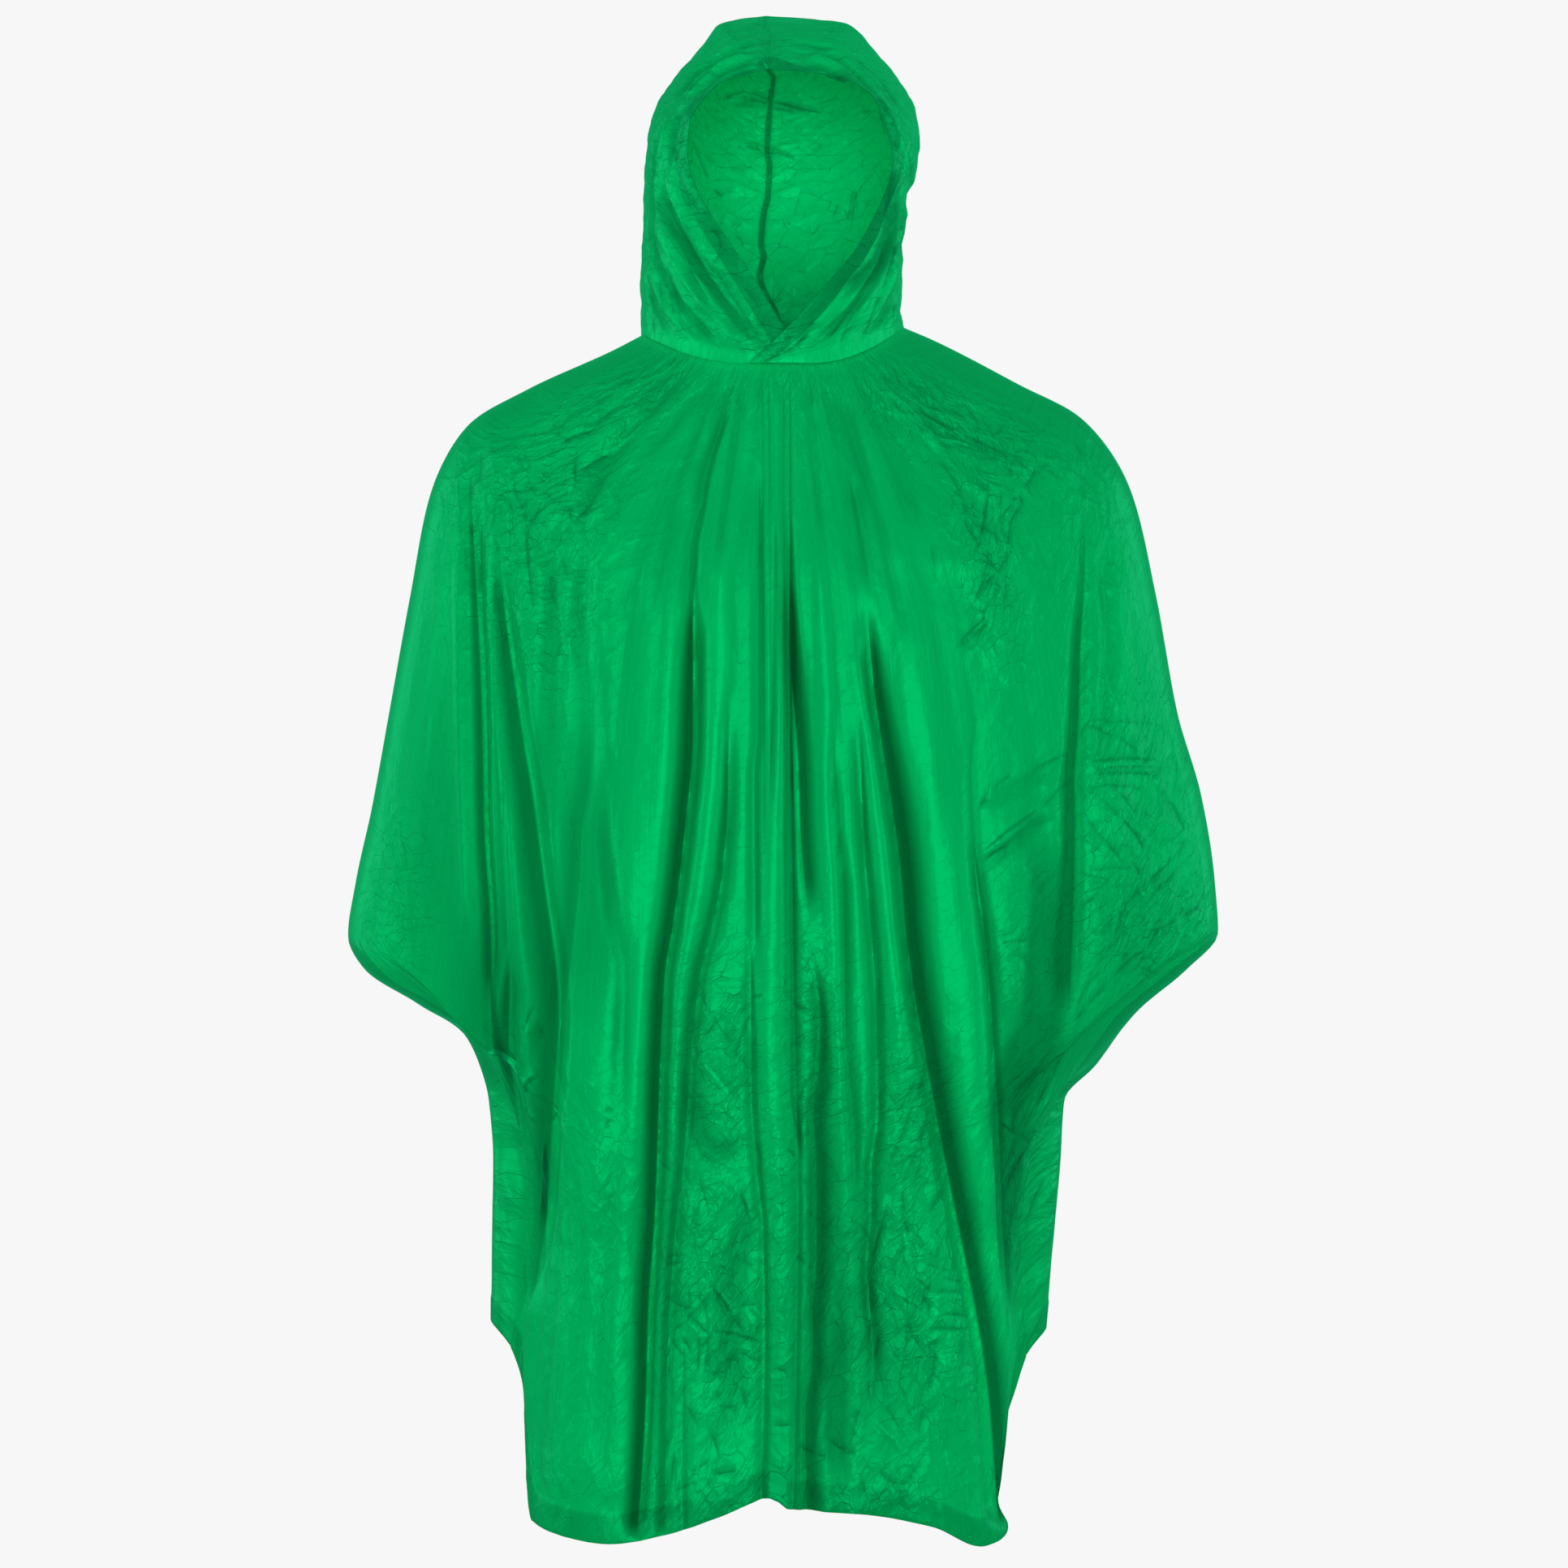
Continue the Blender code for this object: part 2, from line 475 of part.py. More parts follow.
def grid_faces(rows, columns, flipped):
    """Four-sided faces of a grid of points, wound the other way if flipped."""
    index = np.arange(rows * columns).reshape(rows, columns)
    corners = [index[:-1, :-1], index[:-1, 1:], index[1:, 1:], index[1:, :-1]]
    if flipped:
        corners = corners[::-1]
    return np.stack(corners, axis=-1).reshape(-1, 4).tolist()


def film(name, colour):
    """A glossy plastic film."""
    material = bpy.data.materials.new(name)
    material.use_nodes = True
    shader = material.node_tree.nodes["Principled BSDF"]
    shader.inputs["Base Color"].default_value = (*colour, 1.0)
    shader.inputs["Roughness"].default_value = FILM_ROUGHNESS
    shader.inputs["Metallic"].default_value = 0.0
    material.diffuse_color = (*colour, 1.0)
    return material


def cloth(name, grid, flipped, material, collection):
    """A piece of film: the open sheet of a grid, given its wall inwards."""
    rows, columns = grid.shape[:2]
    mesh = bpy.data.meshes.new(name)
    mesh.from_pydata(grid.reshape(-1, 3).tolist(), [], grid_faces(rows, columns, flipped))
    sheet = bmesh.new()
    sheet.from_mesh(mesh)
    bmesh.ops.remove_doubles(sheet, verts=sheet.verts, dist=SAME_POINT)
    sheet.to_mesh(mesh)
    sheet.free()
    mesh.shade_smooth()
    mesh.materials.append(material)
    piece = bpy.data.objects.new(name, mesh)
    collection.objects.link(piece)
    wall = piece.modifiers.new("Wall", "SOLIDIFY")
    wall.thickness = WALL
    wall.offset = -1.0
    return piece


def clear_scene():
    """Removes what the scene holds, such as the startup cube."""
    for piece in list(bpy.data.objects):
        bpy.data.objects.remove(piece, do_unlink=True)


def main():
    """Makes the four pieces in a collection of their own."""
    clear_scene()
    collection = bpy.data.collections.new("rain_poncho")
    bpy.context.scene.collection.children.link(collection)

    front = panel("front", FRONT_HALF_COLUMNS, FRONT_FOLDS, FRONT_GUIDES, FRONT_HEM_DIP)
    cloth("front", front, True, film("front_film", FILM_COLOUR), collection)
    back = panel("back", BACK_HALF_COLUMNS, BACK_FOLDS, BACK_GUIDES, BACK_HEM_DIP)
    cloth("back", back, True, film("back_film", FILM_COLOUR), collection)

    for name, sections, folds in (
        ("hood_left", HOOD_LEFT_SECTIONS, HOOD_LEFT_FOLDS),
        ("hood_right", HOOD_RIGHT_SECTIONS, HOOD_RIGHT_FOLDS),
    ):
        half, hand = hood_half(sections, folds)
        cloth(name, half, hand < 0, film(name + "_film", HOOD_COLOUR), collection)


main()
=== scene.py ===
"""The looks of a hooded rain poncho of thin glossy vinyl film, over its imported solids.

Frame: metres, +Z up, the front faces -Y and the wearer's left is at +X. The origin is the middle
of the neck, level with the top of the shoulders. Each piece is one sheet of film: a surface of
two parameters, into which its folds, creases and crumples are pressed along its normals, and
which a Solidify modifier gives its wall.
"""

import math

import bpy
import numpy as np
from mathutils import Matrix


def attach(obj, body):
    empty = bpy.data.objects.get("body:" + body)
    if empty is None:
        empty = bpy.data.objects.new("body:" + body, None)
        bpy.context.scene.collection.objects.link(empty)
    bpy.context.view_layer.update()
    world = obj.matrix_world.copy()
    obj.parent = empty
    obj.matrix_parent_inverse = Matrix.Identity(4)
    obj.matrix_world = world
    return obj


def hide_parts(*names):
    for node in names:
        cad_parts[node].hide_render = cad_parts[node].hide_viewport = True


bl_info = {
    "name": "Rain poncho",
    "version": (1, 0, 0),
    "blender": (4, 5, 0),
    "location": "3D View > Sidebar > Poncho",
    "description": "Dresses the solids of a hooded rain poncho as creased vinyl film",
    "category": "Object",
}

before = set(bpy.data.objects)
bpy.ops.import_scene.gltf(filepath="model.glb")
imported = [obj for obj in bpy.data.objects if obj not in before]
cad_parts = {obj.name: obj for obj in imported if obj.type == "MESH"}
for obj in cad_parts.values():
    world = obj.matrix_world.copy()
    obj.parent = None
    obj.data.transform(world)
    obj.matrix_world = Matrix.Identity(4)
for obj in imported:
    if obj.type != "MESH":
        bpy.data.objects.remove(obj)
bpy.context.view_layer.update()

# ---------------- sizes, in metres

SEAM_GAP = -0.0002  # between two pieces along a seam, where they close on each other
SEAM_LIP = 0.002  # square strip along the shoulder, side and hood seams
CENTRE_X = 0.005  # the centre front and the centre back
QUARTER = math.pi / 2
DENSE = 480  # points along a line before it is spaced evenly
TIGHT = 0.0005  # between the two columns or rows at a crisp edge
LINE_SETS = 9  # sets of fine creases, each with room between its own
LINE_WIDTH = 1.1  # half the width of a fine crease, in millimetres
LINE_REACH = 6.0  # how far a fine crease is felt, in millimetres
BAND_SETS = 9  # sets of crisp folds, each with room between its own
BAND_REACH = 4.0  # how far a crisp fold is felt past its width, in millimetres
ROUNDEST = 4.0  # half width of either side of a long fold, in millimetres, at least
STEEPEST = 0.6  # half width of its steep side as a share of its height, at least
CRISP = 0.5  # how sharp a fold is at least if its shade has a crisp edge
LAYER = 0.0006  # how far a second layer of film stands off the first
BAND_EDGE = 1.15  # where a fold's dark band ends, in widths of the fold
BEYOND = 3.0  # a place across, in such widths, that no band reaches
FAR = 1e3  # the room in an empty set, in millimetres
RAMP_SHARE = 0.6  # share of the ramp in the sharpest long fold
FULL_LIGHT = 0.82  # painted shading of plain film, as a part of its lightest colour
PANEL_REACH = 0.42  # half the width of a panel's flow map
HOOD_RISE, HOOD_REACH = 0.3, 0.26  # height and width of a hood half's flow map
WIDE_STREAKS, FINE_STREAKS, HOOD_FINE_STREAKS = 0.0009, 0.0003, 0.0004  # heights
RUMPLE = 0.0014  # height of the crumples
MM = 0.001

# The film's finish: heights of two sets of wrinkles and of facets, of a fine crease's narrow and
# wide parts and of the streaks, and then shares of the light and shade painted into its colour
RISING_HEIGHT, FALLING_HEIGHT, FACET_HEIGHT = 0.0022, 0.0015, 0.35
CORE_HEIGHT, WIDE_HEIGHT, STREAK_HEIGHT = 0.00005, 0.0001, 0.0003
EVERYWHERE = 0.1  # how wrinkled the film is where nothing crumples it
CORE_LIGHT, SLOPE_LIGHT = 0.045, 0.028  # painted shade in a fine crease that dips (light in one that stands out), and painted light and shade on its two sides
LIP_LIGHT = 0.35  # painted highlight beside a crisp fold
HEM_SHADE = 0.28  # lost where the film is doubled
# painted light along the streaks, and the share of colour kept between them
STREAK_LIGHT, BETWEEN_STREAKS = 0.2, 0.9
DARKEST = 0.8  # painted shade in a crisp fold, at most

# Sections of the body, from the neck seam down to the hem: the side lines, the middles of the
# front and the back, half the gap of the sleeve's mouth, the flat fin at the side, the parts of
# the turn between which the height goes from the middle's to the side's, and the power in plan
BODY_FIELDS = (
    "left_x", "left_z", "right_x", "right_z", "front_y", "front_z", "back_y", "back_z",
    "mouth", "fin", "level", "full", "square",
)
BODY_SECTIONS = {
    "neck seam": (-0.1036, 0.0096, 0.1035, 0.016, -0.115, -0.024, 0.095, 0.02, 0.0, 0.0, 0.15, 1.0, 2.0),
    "collar": (-0.124, -0.001, 0.125, 0.007, -0.121, -0.052, 0.103, -0.008, 0.0, 0.0, 0.1, 1.0, 2.0),
    "shoulder": (-0.1932, -0.0325, 0.193, -0.028, -0.132, -0.122, 0.115, -0.074, 0.0, 0.0, 0.05, 1.0, 2.0),
    "shoulder edge": (
        -0.24, -0.061, 0.244, -0.056, -0.145, -0.185, 0.122, -0.138, 0.0, 0.0, 0.05, 1.0, 2.1),
    "shoulder point": (
        -0.269, -0.114, 0.281, -0.11, -0.149, -0.25, 0.127, -0.205, 0.0, 0.0, 0.05, 1.0, 2.2),
    "upper arm": (-0.285, -0.195, 0.301, -0.192, -0.151, -0.325, 0.129, -0.285, 0.0, 0.0, 0.1, 1.0, 2.3),
    "arm": (-0.3015, -0.288, 0.3185, -0.288, -0.152, -0.4, 0.13, -0.365, 0.0, 0.0, 0.15, 1.0, 2.4),
    "elbow": (-0.315, -0.362, 0.337, -0.352, -0.151, -0.46, 0.13, -0.43, 0.0, 0.0, 0.15, 1.0, 2.4),
    "forearm": (-0.3275, -0.42, 0.347, -0.415, -0.152, -0.508, 0.129, -0.48, 0.0, 0.0, 0.2, 0.9, 2.4),
    "sleeve corner": (-0.3335, -0.46, 0.35, -0.458, -0.152, -0.545, 0.128, -0.518, 0.0, 0.0, 0.2, 0.8, 2.4),
    "sleeve hem": (-0.318, -0.486, 0.323, -0.486, -0.152, -0.575, 0.127, -0.55, 0.026, 0.0, 0.25, 0.7, 2.4),
    "sleeve middle": (
        -0.274, -0.513, 0.28, -0.521, -0.152, -0.61, 0.126, -0.588, 0.04, 0.0, 0.25, 0.7, 2.5),
    "sleeve inside": (
        -0.239, -0.54, 0.253, -0.561, -0.152, -0.648, 0.125, -0.628, 0.024, 0.008, 0.3, 0.8, 2.6),
    "underarm": (-0.224, -0.59, 0.23, -0.592, -0.151, -0.69, 0.124, -0.672, 0.0, 0.02, 0.4, 1.0, 2.8),
    "side": (-0.22, -0.64, 0.2265, -0.64, -0.151, -0.745, 0.123, -0.728, 0.0, 0.026, 0.45, 1.0, 3.2),
    "side seam end": (
        -0.2208, -0.715, 0.2195, -0.715, -0.15, -0.83, 0.121, -0.815, 0.0, 0.031, 0.62, 1.0, 3.8),
    "hem": (-0.2208, -0.762, 0.2145, -0.768, -0.149, -0.884, 0.12, -0.874, 0.0, 0.029, 0.72, 1.0, 4.4),
}
FIN_FROM = 0.9  # part of the quarter turn at which a fin begins

# How far the bottom hem hangs below its height at the centre: rows of x and dip
FRONT_HEM_DIP = (
    (-0.215, 0.01), (-0.155, 0.026), (-0.125, 0.029), (-0.075, 0.02), (-0.04, 0.008),
    (0.0, -0.006), (0.012, 0.002), (0.07, 0.006), (0.12, 0.016), (0.16, 0.034), (0.215, 0.01),
)
BACK_HEM_DIP = (
    (-0.215, 0.01), (-0.145, 0.028), (-0.06, 0.01), (0.01, 0.0), (0.07, 0.008),
    (0.15, 0.03), (0.215, 0.01),
)
HEM_DIP_FROM = -0.6  # height under which the hem's dips begin to show

# Long folds that hang down a panel, in millimetres: the points that each runs through from its top
# down, x and z in turn, its widths to the left and the right, how far it stands out (or dips, if
# negative), how sharp it is, from 0, round, to 1, creased, how much painted shade darkens the film
# along it (painted light, if negative), and the lengths over which it grows and dies.
FRONT_FOLDS = {
    "left main": (
        (-58, -182, -60, -230, -60, -303, -66, -376, -75, -449, -81, -485, -89, -667, -94, -740, -96,
        -813, -102, -910), 11, 5, -15, 0.9, 0.68, 70, 20),
    "left main upper": ((-48, -115, -61, -169, -62, -218), 5, 7, -5, 0.6, 0.25, 40, 40),
    "left second": (
        (-33, -260, -33, -339, -38, -412, -45, -449, -54, -485, -62, -558, -67, -631, -72, -667, -79,
        -776, -81, -910), 8, 6, -9, 0.6, 0.38, 120, 20),
    "centre left": ((-10, -97, -10, -303, -13, -339, -12, -485), 5, 5, -5, 0.7, 0.35, 60, 60),
    "centre left low": ((2, -133, 2, -194, -2, -364), 5, 5, -3, 0.7, 0.3, 40, 80),
    "centre strip left": (
        (-16, -455, -15, -568, -11, -631, -6, -679, -5, -752, -8, -898), 5, 5, -5, 0.8, 0.35, 40, 20),
    "centre strip right": ((14, -121, 14, -568, 24, -637), 5, 5, -5, 0.8, 0.35, 60, 60),
    "centre right upper": (
        (13, -182, 14, -230, 21, -339, 22, -376, 30, -461), 5, 11, -11, 0.9, 0.62, 50, 80),
    "centre right lower": (
        (27, -455, 37, -521, 36, -558, 32, -594, 34, -631, 34, -704, 31, -740, 31, -776, 26, -813, 27,
        -910), 5, 12, -11, 0.7, 0.52, 80, 30),
    "right second": (
        (44, -279, 49, -376, 54, -424, 56, -521, 63, -631, 62, -667), 5, 5, -6, 0.6, 0.3, 80, 60),
    "right third": (
        (64, -267, 69, -376, 79, -521, 80, -594, 75, -631, 75, -667, 72, -704, 77, -776, 72, -825), 6, 6,
        -8, 0.6, 0.35, 100, 80),
    "right main": (
        (70, -194, 77, -267, 98, -412, 101, -449, 125, -594, 161, -776, 166, -813, 174, -910), 5, 17, -15,
        0.9, 0.72, 90, 20),
    "right main upper": ((54, -97, 63, -129, 75, -206), 9, 5, -5, 0.6, 0.22, 50, 40),
    "right sleeve": (
        (242, -72, 238, -194, 235, -230, 232, -303, 229, -339, 229, -376, 224, -523), 14, 5, -12, 0.9,
        0.46, 260, 50),
    "right flank": (
        (184, -303, 195, -339, 194, -376, 205, -412, 207, -449, 203, -521, 190, -558, 181, -594, 189,
        -631, 194, -704, 189, -764), 24, 20, -9, 0.3, 0.36, 160, 90),
    "right edge roll": ((148, -370, 160, -455, 181, -758), 5, 5, -6, 0.8, 0.3, 60, 60),
    "left sleeve outer": (
        (-233, -97, -221, -303, -219, -376, -214, -449, -212, -515), 7, 6, -11, 0.8, 0.46, 90, 50),
    "left sleeve inner": (
        (-210, -145, -206, -194, -174, -412, -162, -521, -164, -558, -174, -667, -188, -752), 19, 6, -14,
        0.8, 0.5, 110, 50),
    "left flank": (
        (-198, -467, -200, -558, -194, -631, -189, -667, -193, -704, -189, -752), 10, 9, -9, 0.5, 0.42,
        40, 50),
    "left chest": (
        (-139, -121, -143, -194, -137, -303, -138, -339, -144, -376, -146, -412, -159, -534), 14, 9, -6,
        0.5, 0.2, 70, 90),
    "left chest second": (
        (-127, -303, -128, -376, -122, -424, -111, -485, -113, -558, -116, -606), 9, 7, -5, 0.4, 0.2, 80,
        90),
    "left shoulder": (
        (-177, -145, -167, -230, -169, -279, -174, -339, -172, -400), 10, 8, -5, 0.4, 0.2, 50, 60),
    "left roll edge": ((-189, -631, -180, -691, -185, -789, -183, -849), 5, 5, 6, 0.6, 0.0, 60, 60),
    "plateau left": (
        (-95, -145, -89, -230, -88, -303, -95, -376, -110, -443, -121, -521, -131, -691), 15, 13, 4, 0.0,
        -0.07, 70, 80),
    "plateau inner": (
        (-78, -145, -76, -230, -77, -303, -95, -485, -104, -606, -114, -704, -122, -819), 8, 7, 3, 0.0,
        -0.06, 80, 60),
    "centre left roll": (
        (-43, -145, -37, -242, -41, -303, -55, -418, -66, -485, -74, -558), 12, 8, 4, 0.0, -0.07, 50,
        120),
    "centre strip": ((4, -145, 7, -242, -1, -521, 7, -704, 5, -819), 8, 8, 4, 0.0, -0.05, 90, 50),
    "right panel edge": ((160, -448, 166, -521, 180, -776), 5, 40, -3, 0.6, 0.2, 90, 60),
    "left ridge valley": ((-172, -606, -177, -655, -180, -691), 5, 9, -4, 0.6, 0.45, 40, 40),
    "left hem valley": ((-213, -473, -212, -509, -207, -570, -186, -694), 5, 10, -5, 0.6, 0.42, 60, 60),
    "right roll one": (
        (33, -157, 41, -279, 45, -412, 53, -587, 55, -673, 59, -751), 7, 6, 4, 0.0, -0.07, 40, 80),
    "right roll two": ((59, -218, 72, -303, 82, -388, 98, -564, 100, -643), 8, 8, 4, 0.0, -0.06, 60, 80),
    "right plateau": ((95, -182, 134, -424, 164, -667, 179, -825), 22, 16, 6, 0.0, -0.06, 70, 80),
    "right arm": ((266, -145, 265, -218, 260, -303, 258, -388, 254, -461), 16, 14, 4, 0.0, -0.05, 60, 80),
    "left lower plateau": (
        (-127, -582, -133, -655, -145, -728, -150, -801, -145, -886), 18, 18, 5, 0.0, -0.04, 80, 30),
    "low right roll": ((87, -594, 119, -704, 134, -776, 145, -849), 12, 12, 5, 0.0, -0.05, 60, 80),
    "belly": ((-35, -509, -37, -546, -35, -582), 10, 10, 6, 0.0, -0.06, 30, 30),
    "low middle dark": ((-28, -631, -22, -667, -31, -728, -24, -849), 16, 12, -5, 0.2, 0.22, 60, 80),
    "low left streak": ((-66, -740, -67, -849, -66, -910), 5, 5, -4, 0.5, 0.25, 60, 20),
    "low centre right": ((48, -704, 50, -752, 48, -813, 54, -880), 12, 9, -5, 0.3, 0.22, 60, 40),
    "left sleeve ridge": ((-242, -145, -234, -388, -229, -473), 5, 4, 4, 0.4, -0.07, 70, 50),
    "left sleeve pleat one": ((-211, -279, -207, -339, -199, -485), 5, 4, -4, 0.6, 0.22, 60, 50),
    "left sleeve pleat two": ((-200, -351, -188, -473, -182, -521), 5, 4, 3, 0.5, -0.04, 60, 50),
    "left hollow": (
        (-159, -254, -155, -327, -143, -400, -139, -473, -144, -546), 28, 24, -5, 0.1, 0.2, 100, 90),
    "right flank pleat": ((157, -279, 150, -339, 166, -485, 175, -534), 6, 8, -4, 0.4, 0.16, 70, 70),
    "right sleeve second": ((255, -145, 257, -218, 248, -351), 6, 6, -4, 0.4, 0.12, 60, 60),
}
BACK_FOLDS = {
    "right long": (
        (50, -90, 62, -220, 74, -360, 84, -520, 96, -760, 104, -1000), 14, 4, -15, 0.9, 0.5, 120, 20),
    "right long second": ((84, -300, 98, -440, 108, -600, 112, -1000), 6, 6, -8, 0.6, 0.35, 100, 20),
    "right roll": ((78, -180, 112, -480, 140, -1000), 16, 16, 6, 0.0, -0.06, 90, 20),
    "right shallow": ((140, -240, 152, -460, 150, -760), 5, 12, -9, 0.7, 0.38, 90, 90),
    "right sleeve": ((238, -110, 243, -300, 236, -420, 232, -560), 4, 14, -13, 0.8, 0.42, 160, 40),
    "right sleeve second": ((206, -200, 214, -380, 204, -600), 9, 8, -8, 0.5, 0.3, 90, 90),
    "centre": ((8, -60, 4, -260, 1, -480, 8, -740, 12, -1000), 3, 11, -11, 0.8, 0.42, 120, 20),
    "centre second": ((-16, -80, -20, -300, -16, -520, -22, -1000), 5, 5, -6, 0.6, 0.3, 100, 20),
    "centre roll": ((30, -140, 34, -420, 50, -1000), 12, 12, 5, 0.0, -0.06, 90, 20),
    "left shallow": ((-42, -110, -60, -420, -64, -640, -56, -1000), 12, 4, -11, 0.8, 0.42, 120, 20),
    "left roll": ((-80, -160, -94, -420, -100, -1000), 14, 14, 6, 0.0, -0.06, 90, 20),
    "left long": (
        (-108, -160, -126, -300, -142, -460, -150, -680, -148, -1000), 4, 14, -15, 0.9, 0.5, 100, 20),
    "left flank": ((-176, -300, -184, -500, -180, -760), 16, 14, -7, 0.3, 0.28, 100, 90),
    "left sleeve": ((-238, -100, -232, -260, -228, -400, -218, -560), 14, 4, -13, 0.8, 0.42, 140, 40),
    "left sleeve second": ((-204, -180, -200, -360, -192, -560), 8, 8, -8, 0.5, 0.3, 90, 90),
    "left arm": ((-268, -160, -276, -300, -280, -440), 12, 12, 4, 0.0, -0.04, 90, 90),
    "right arm": ((276, -160, 286, -300, 288, -440), 12, 12, 4, 0.0, -0.04, 90, 90),
}

# Fine pleats and gathers beside the long folds, in the same terms
FRONT_PLEATS = {
    "centre pleat 1": ((-8, -28, -7, -220, -6, -400), 2.2, 2.2, -1.8, 0.8, 0.2, 20, 60),
    "centre pleat 2": ((-3, -30, -2, -230, -1, -380), 2.2, 2.2, -1.6, 0.8, 0.2, 20, 60),
    "centre pleat 3": ((8, -30, 8, -240, 9, -420), 2.2, 2.2, -1.6, 0.8, 0.2, 20, 60),
    "centre pleat 4": ((13, -28, 13, -210, 14, -370), 2.4, 2.4, -2.0, 0.8, 0.3, 20, 60),
    "strip right edge": ((14, -300, 17, -500, 20, -660, 14, -1000), 2.0, 4.0, -2.6, 0.8, 0.3, 60, 20),
    "gather 1": ((-22, -34, -32, -110, -44, -200), 3.5, 3.5, -2.2, 0.4, 0.15, 20, 50),
    "gather 2": ((-32, -34, -50, -120, -66, -220), 4.0, 4.0, -2.4, 0.3, 0.15, 20, 60),
    "gather 3": ((-46, -40, -76, -140, -96, -240), 4.5, 4.5, -2.2, 0.3, 0.1, 20, 60),
    "gather 4": ((26, -34, 32, -100, 40, -180), 3.5, 3.5, -2.0, 0.4, 0.15, 20, 50),
    "gather 5": ((38, -34, 54, -120, 66, -220), 4.0, 4.0, -2.4, 0.3, 0.1, 20, 60),
    "gather 6": ((52, -40, 82, -150, 104, -260), 4.5, 4.5, -2.0, 0.3, 0.1, 20, 60),
}
BACK_PLEATS = {
    "gather 1": ((-20, 10, -26, -60, -34, -160), 4.0, 4.0, -2.2, 0.4, 0.15, 20, 50),
    "gather 2": ((26, 10, 36, -70, 44, -180), 4.0, 4.0, -2.2, 0.4, 0.15, 20, 50),
    "gather 3": ((-50, 8, -70, -80, -86, -200), 4.5, 4.5, -2.2, 0.3, 0.1, 20, 50),
    "gather 4": ((56, 8, 80, -80, 98, -220), 4.5, 4.5, -2.2, 0.3, 0.1, 20, 50),
}

# Creases pressed in, listed in millimetres: one end, a middle point and the other end of each, half its
# width, how far it stands out (or dips), how sharp it is, and its painted shade (light, if negative).
FRONT_CREASES = {
    "left drape": ((-61, -28, -100, -60, -148, -132), 11, -5, 0.5, 0.16),
    "left drape ridge": ((-92, -47, -121, -72, -159, -112), 8, 4, 0.6, -0.1),
    "left valley": ((-127, -102, -135, -121, -147, -136), 5, -4, 0.8, 0.25),
    "left fan one": ((-37, -29, -69, -60, -98, -97), 7, -3, 0.4, 0.08),
    "left fan two": ((-28, -29, -48, -72, -61, -121), 7, -3, 0.4, 0.08),
    "left fan three": ((-43, -42, -57, -97, -71, -145), 6, 3, 0.5, -0.06),
    "left chest fold": ((-28, -48, -48, -97, -57, -145), 5, -4, 0.8, 0.15),
    "right drape": ((36, -30, 60, -84, 64, -145), 10, -4, 0.4, 0.12),
    "right drape two": ((60, -27, 90, -84, 109, -157), 10, -4, 0.4, 0.12),
    "right drape three": ((78, -24, 115, -48, 139, -97), 8, -4, 0.5, 0.12),
    "right plateau edge": ((115, -182, 139, -175, 160, -182), 10, 3, 0.3, -0.05),
    "arc": ((-60, -540, -50, -613, -15, -600), 9, -5, 0.5, 0.28),
    "low fan three": ((90, -691, 102, -734, 139, -764), 5, 4, 0.8, -0.1),
    "side slant one": ((181, -594, 206, -576, 218, -540), 5, -4, 0.8, 0.22),
    "side slant two": ((178, -667, 194, -643, 213, -619), 5, -4, 0.8, 0.22),
    "side slant four": ((181, -704, 197, -685, 207, -655), 5, -3, 0.8, 0.18),
    "left pocket": ((-189, -509, -183, -540, -186, -570), 7, 5, 0.5, -0.15),
    "left pocket dark": ((-194, -564, -183, -546, -176, -515), 5, -4, 0.8, 0.2),
    "flank slant one": ((219, -327, 187, -345, 158, -358), 6, -4, 0.8, 0.14),
    "flank slant two": ((215, -358, 187, -376, 156, -400), 6, 4, 0.8, -0.08),
    "flank slant three": ((212, -364, 185, -385, 155, -409), 6, -4, 0.8, 0.16),
}
BACK_CREASES = {
    "left drape": ((-56, 0, -100, -50, -146, -130), 11, -5, 0.5, 0.16),
    "left drape ridge": ((-90, -20, -120, -50, -160, -100), 8, 4, 0.6, -0.1),
    "left valley": ((-126, -100, -134, -120, -148, -140), 5, -4, 0.8, 0.25),
    "right drape": ((56, 4, 92, -50, 128, -140), 10, -4, 0.5, 0.14),
    "middle fan one": ((-20, 0, -36, -60, -44, -140), 7, -3, 0.4, 0.08),
    "middle fan two": ((24, 0, 40, -60, 48, -140), 7, -3, 0.4, 0.08),
    "seat line one": ((-20, -560, 20, -572, 60, -562), 5, -4, 0.8, 0.2),
    "seat line two": ((-10, -600, 26, -620, 70, -604), 10, 2, 0.4, -0.1),
    "seat line three": ((-40, -640, -4, -660, 40, -650), 5, -4, 0.8, 0.18),
    "low slant two": ((-140, -720, -126, -760, -88, -780), 5, 4, 0.8, -0.1),
    "right sleeve line two": ((244, -400, 280, -404, 310, -396), 5, -4, 0.8, 0.22),
    "left sleeve line two": ((-238, -430, -270, -436, -306, -424), 5, -4, 0.8, 0.22),
}
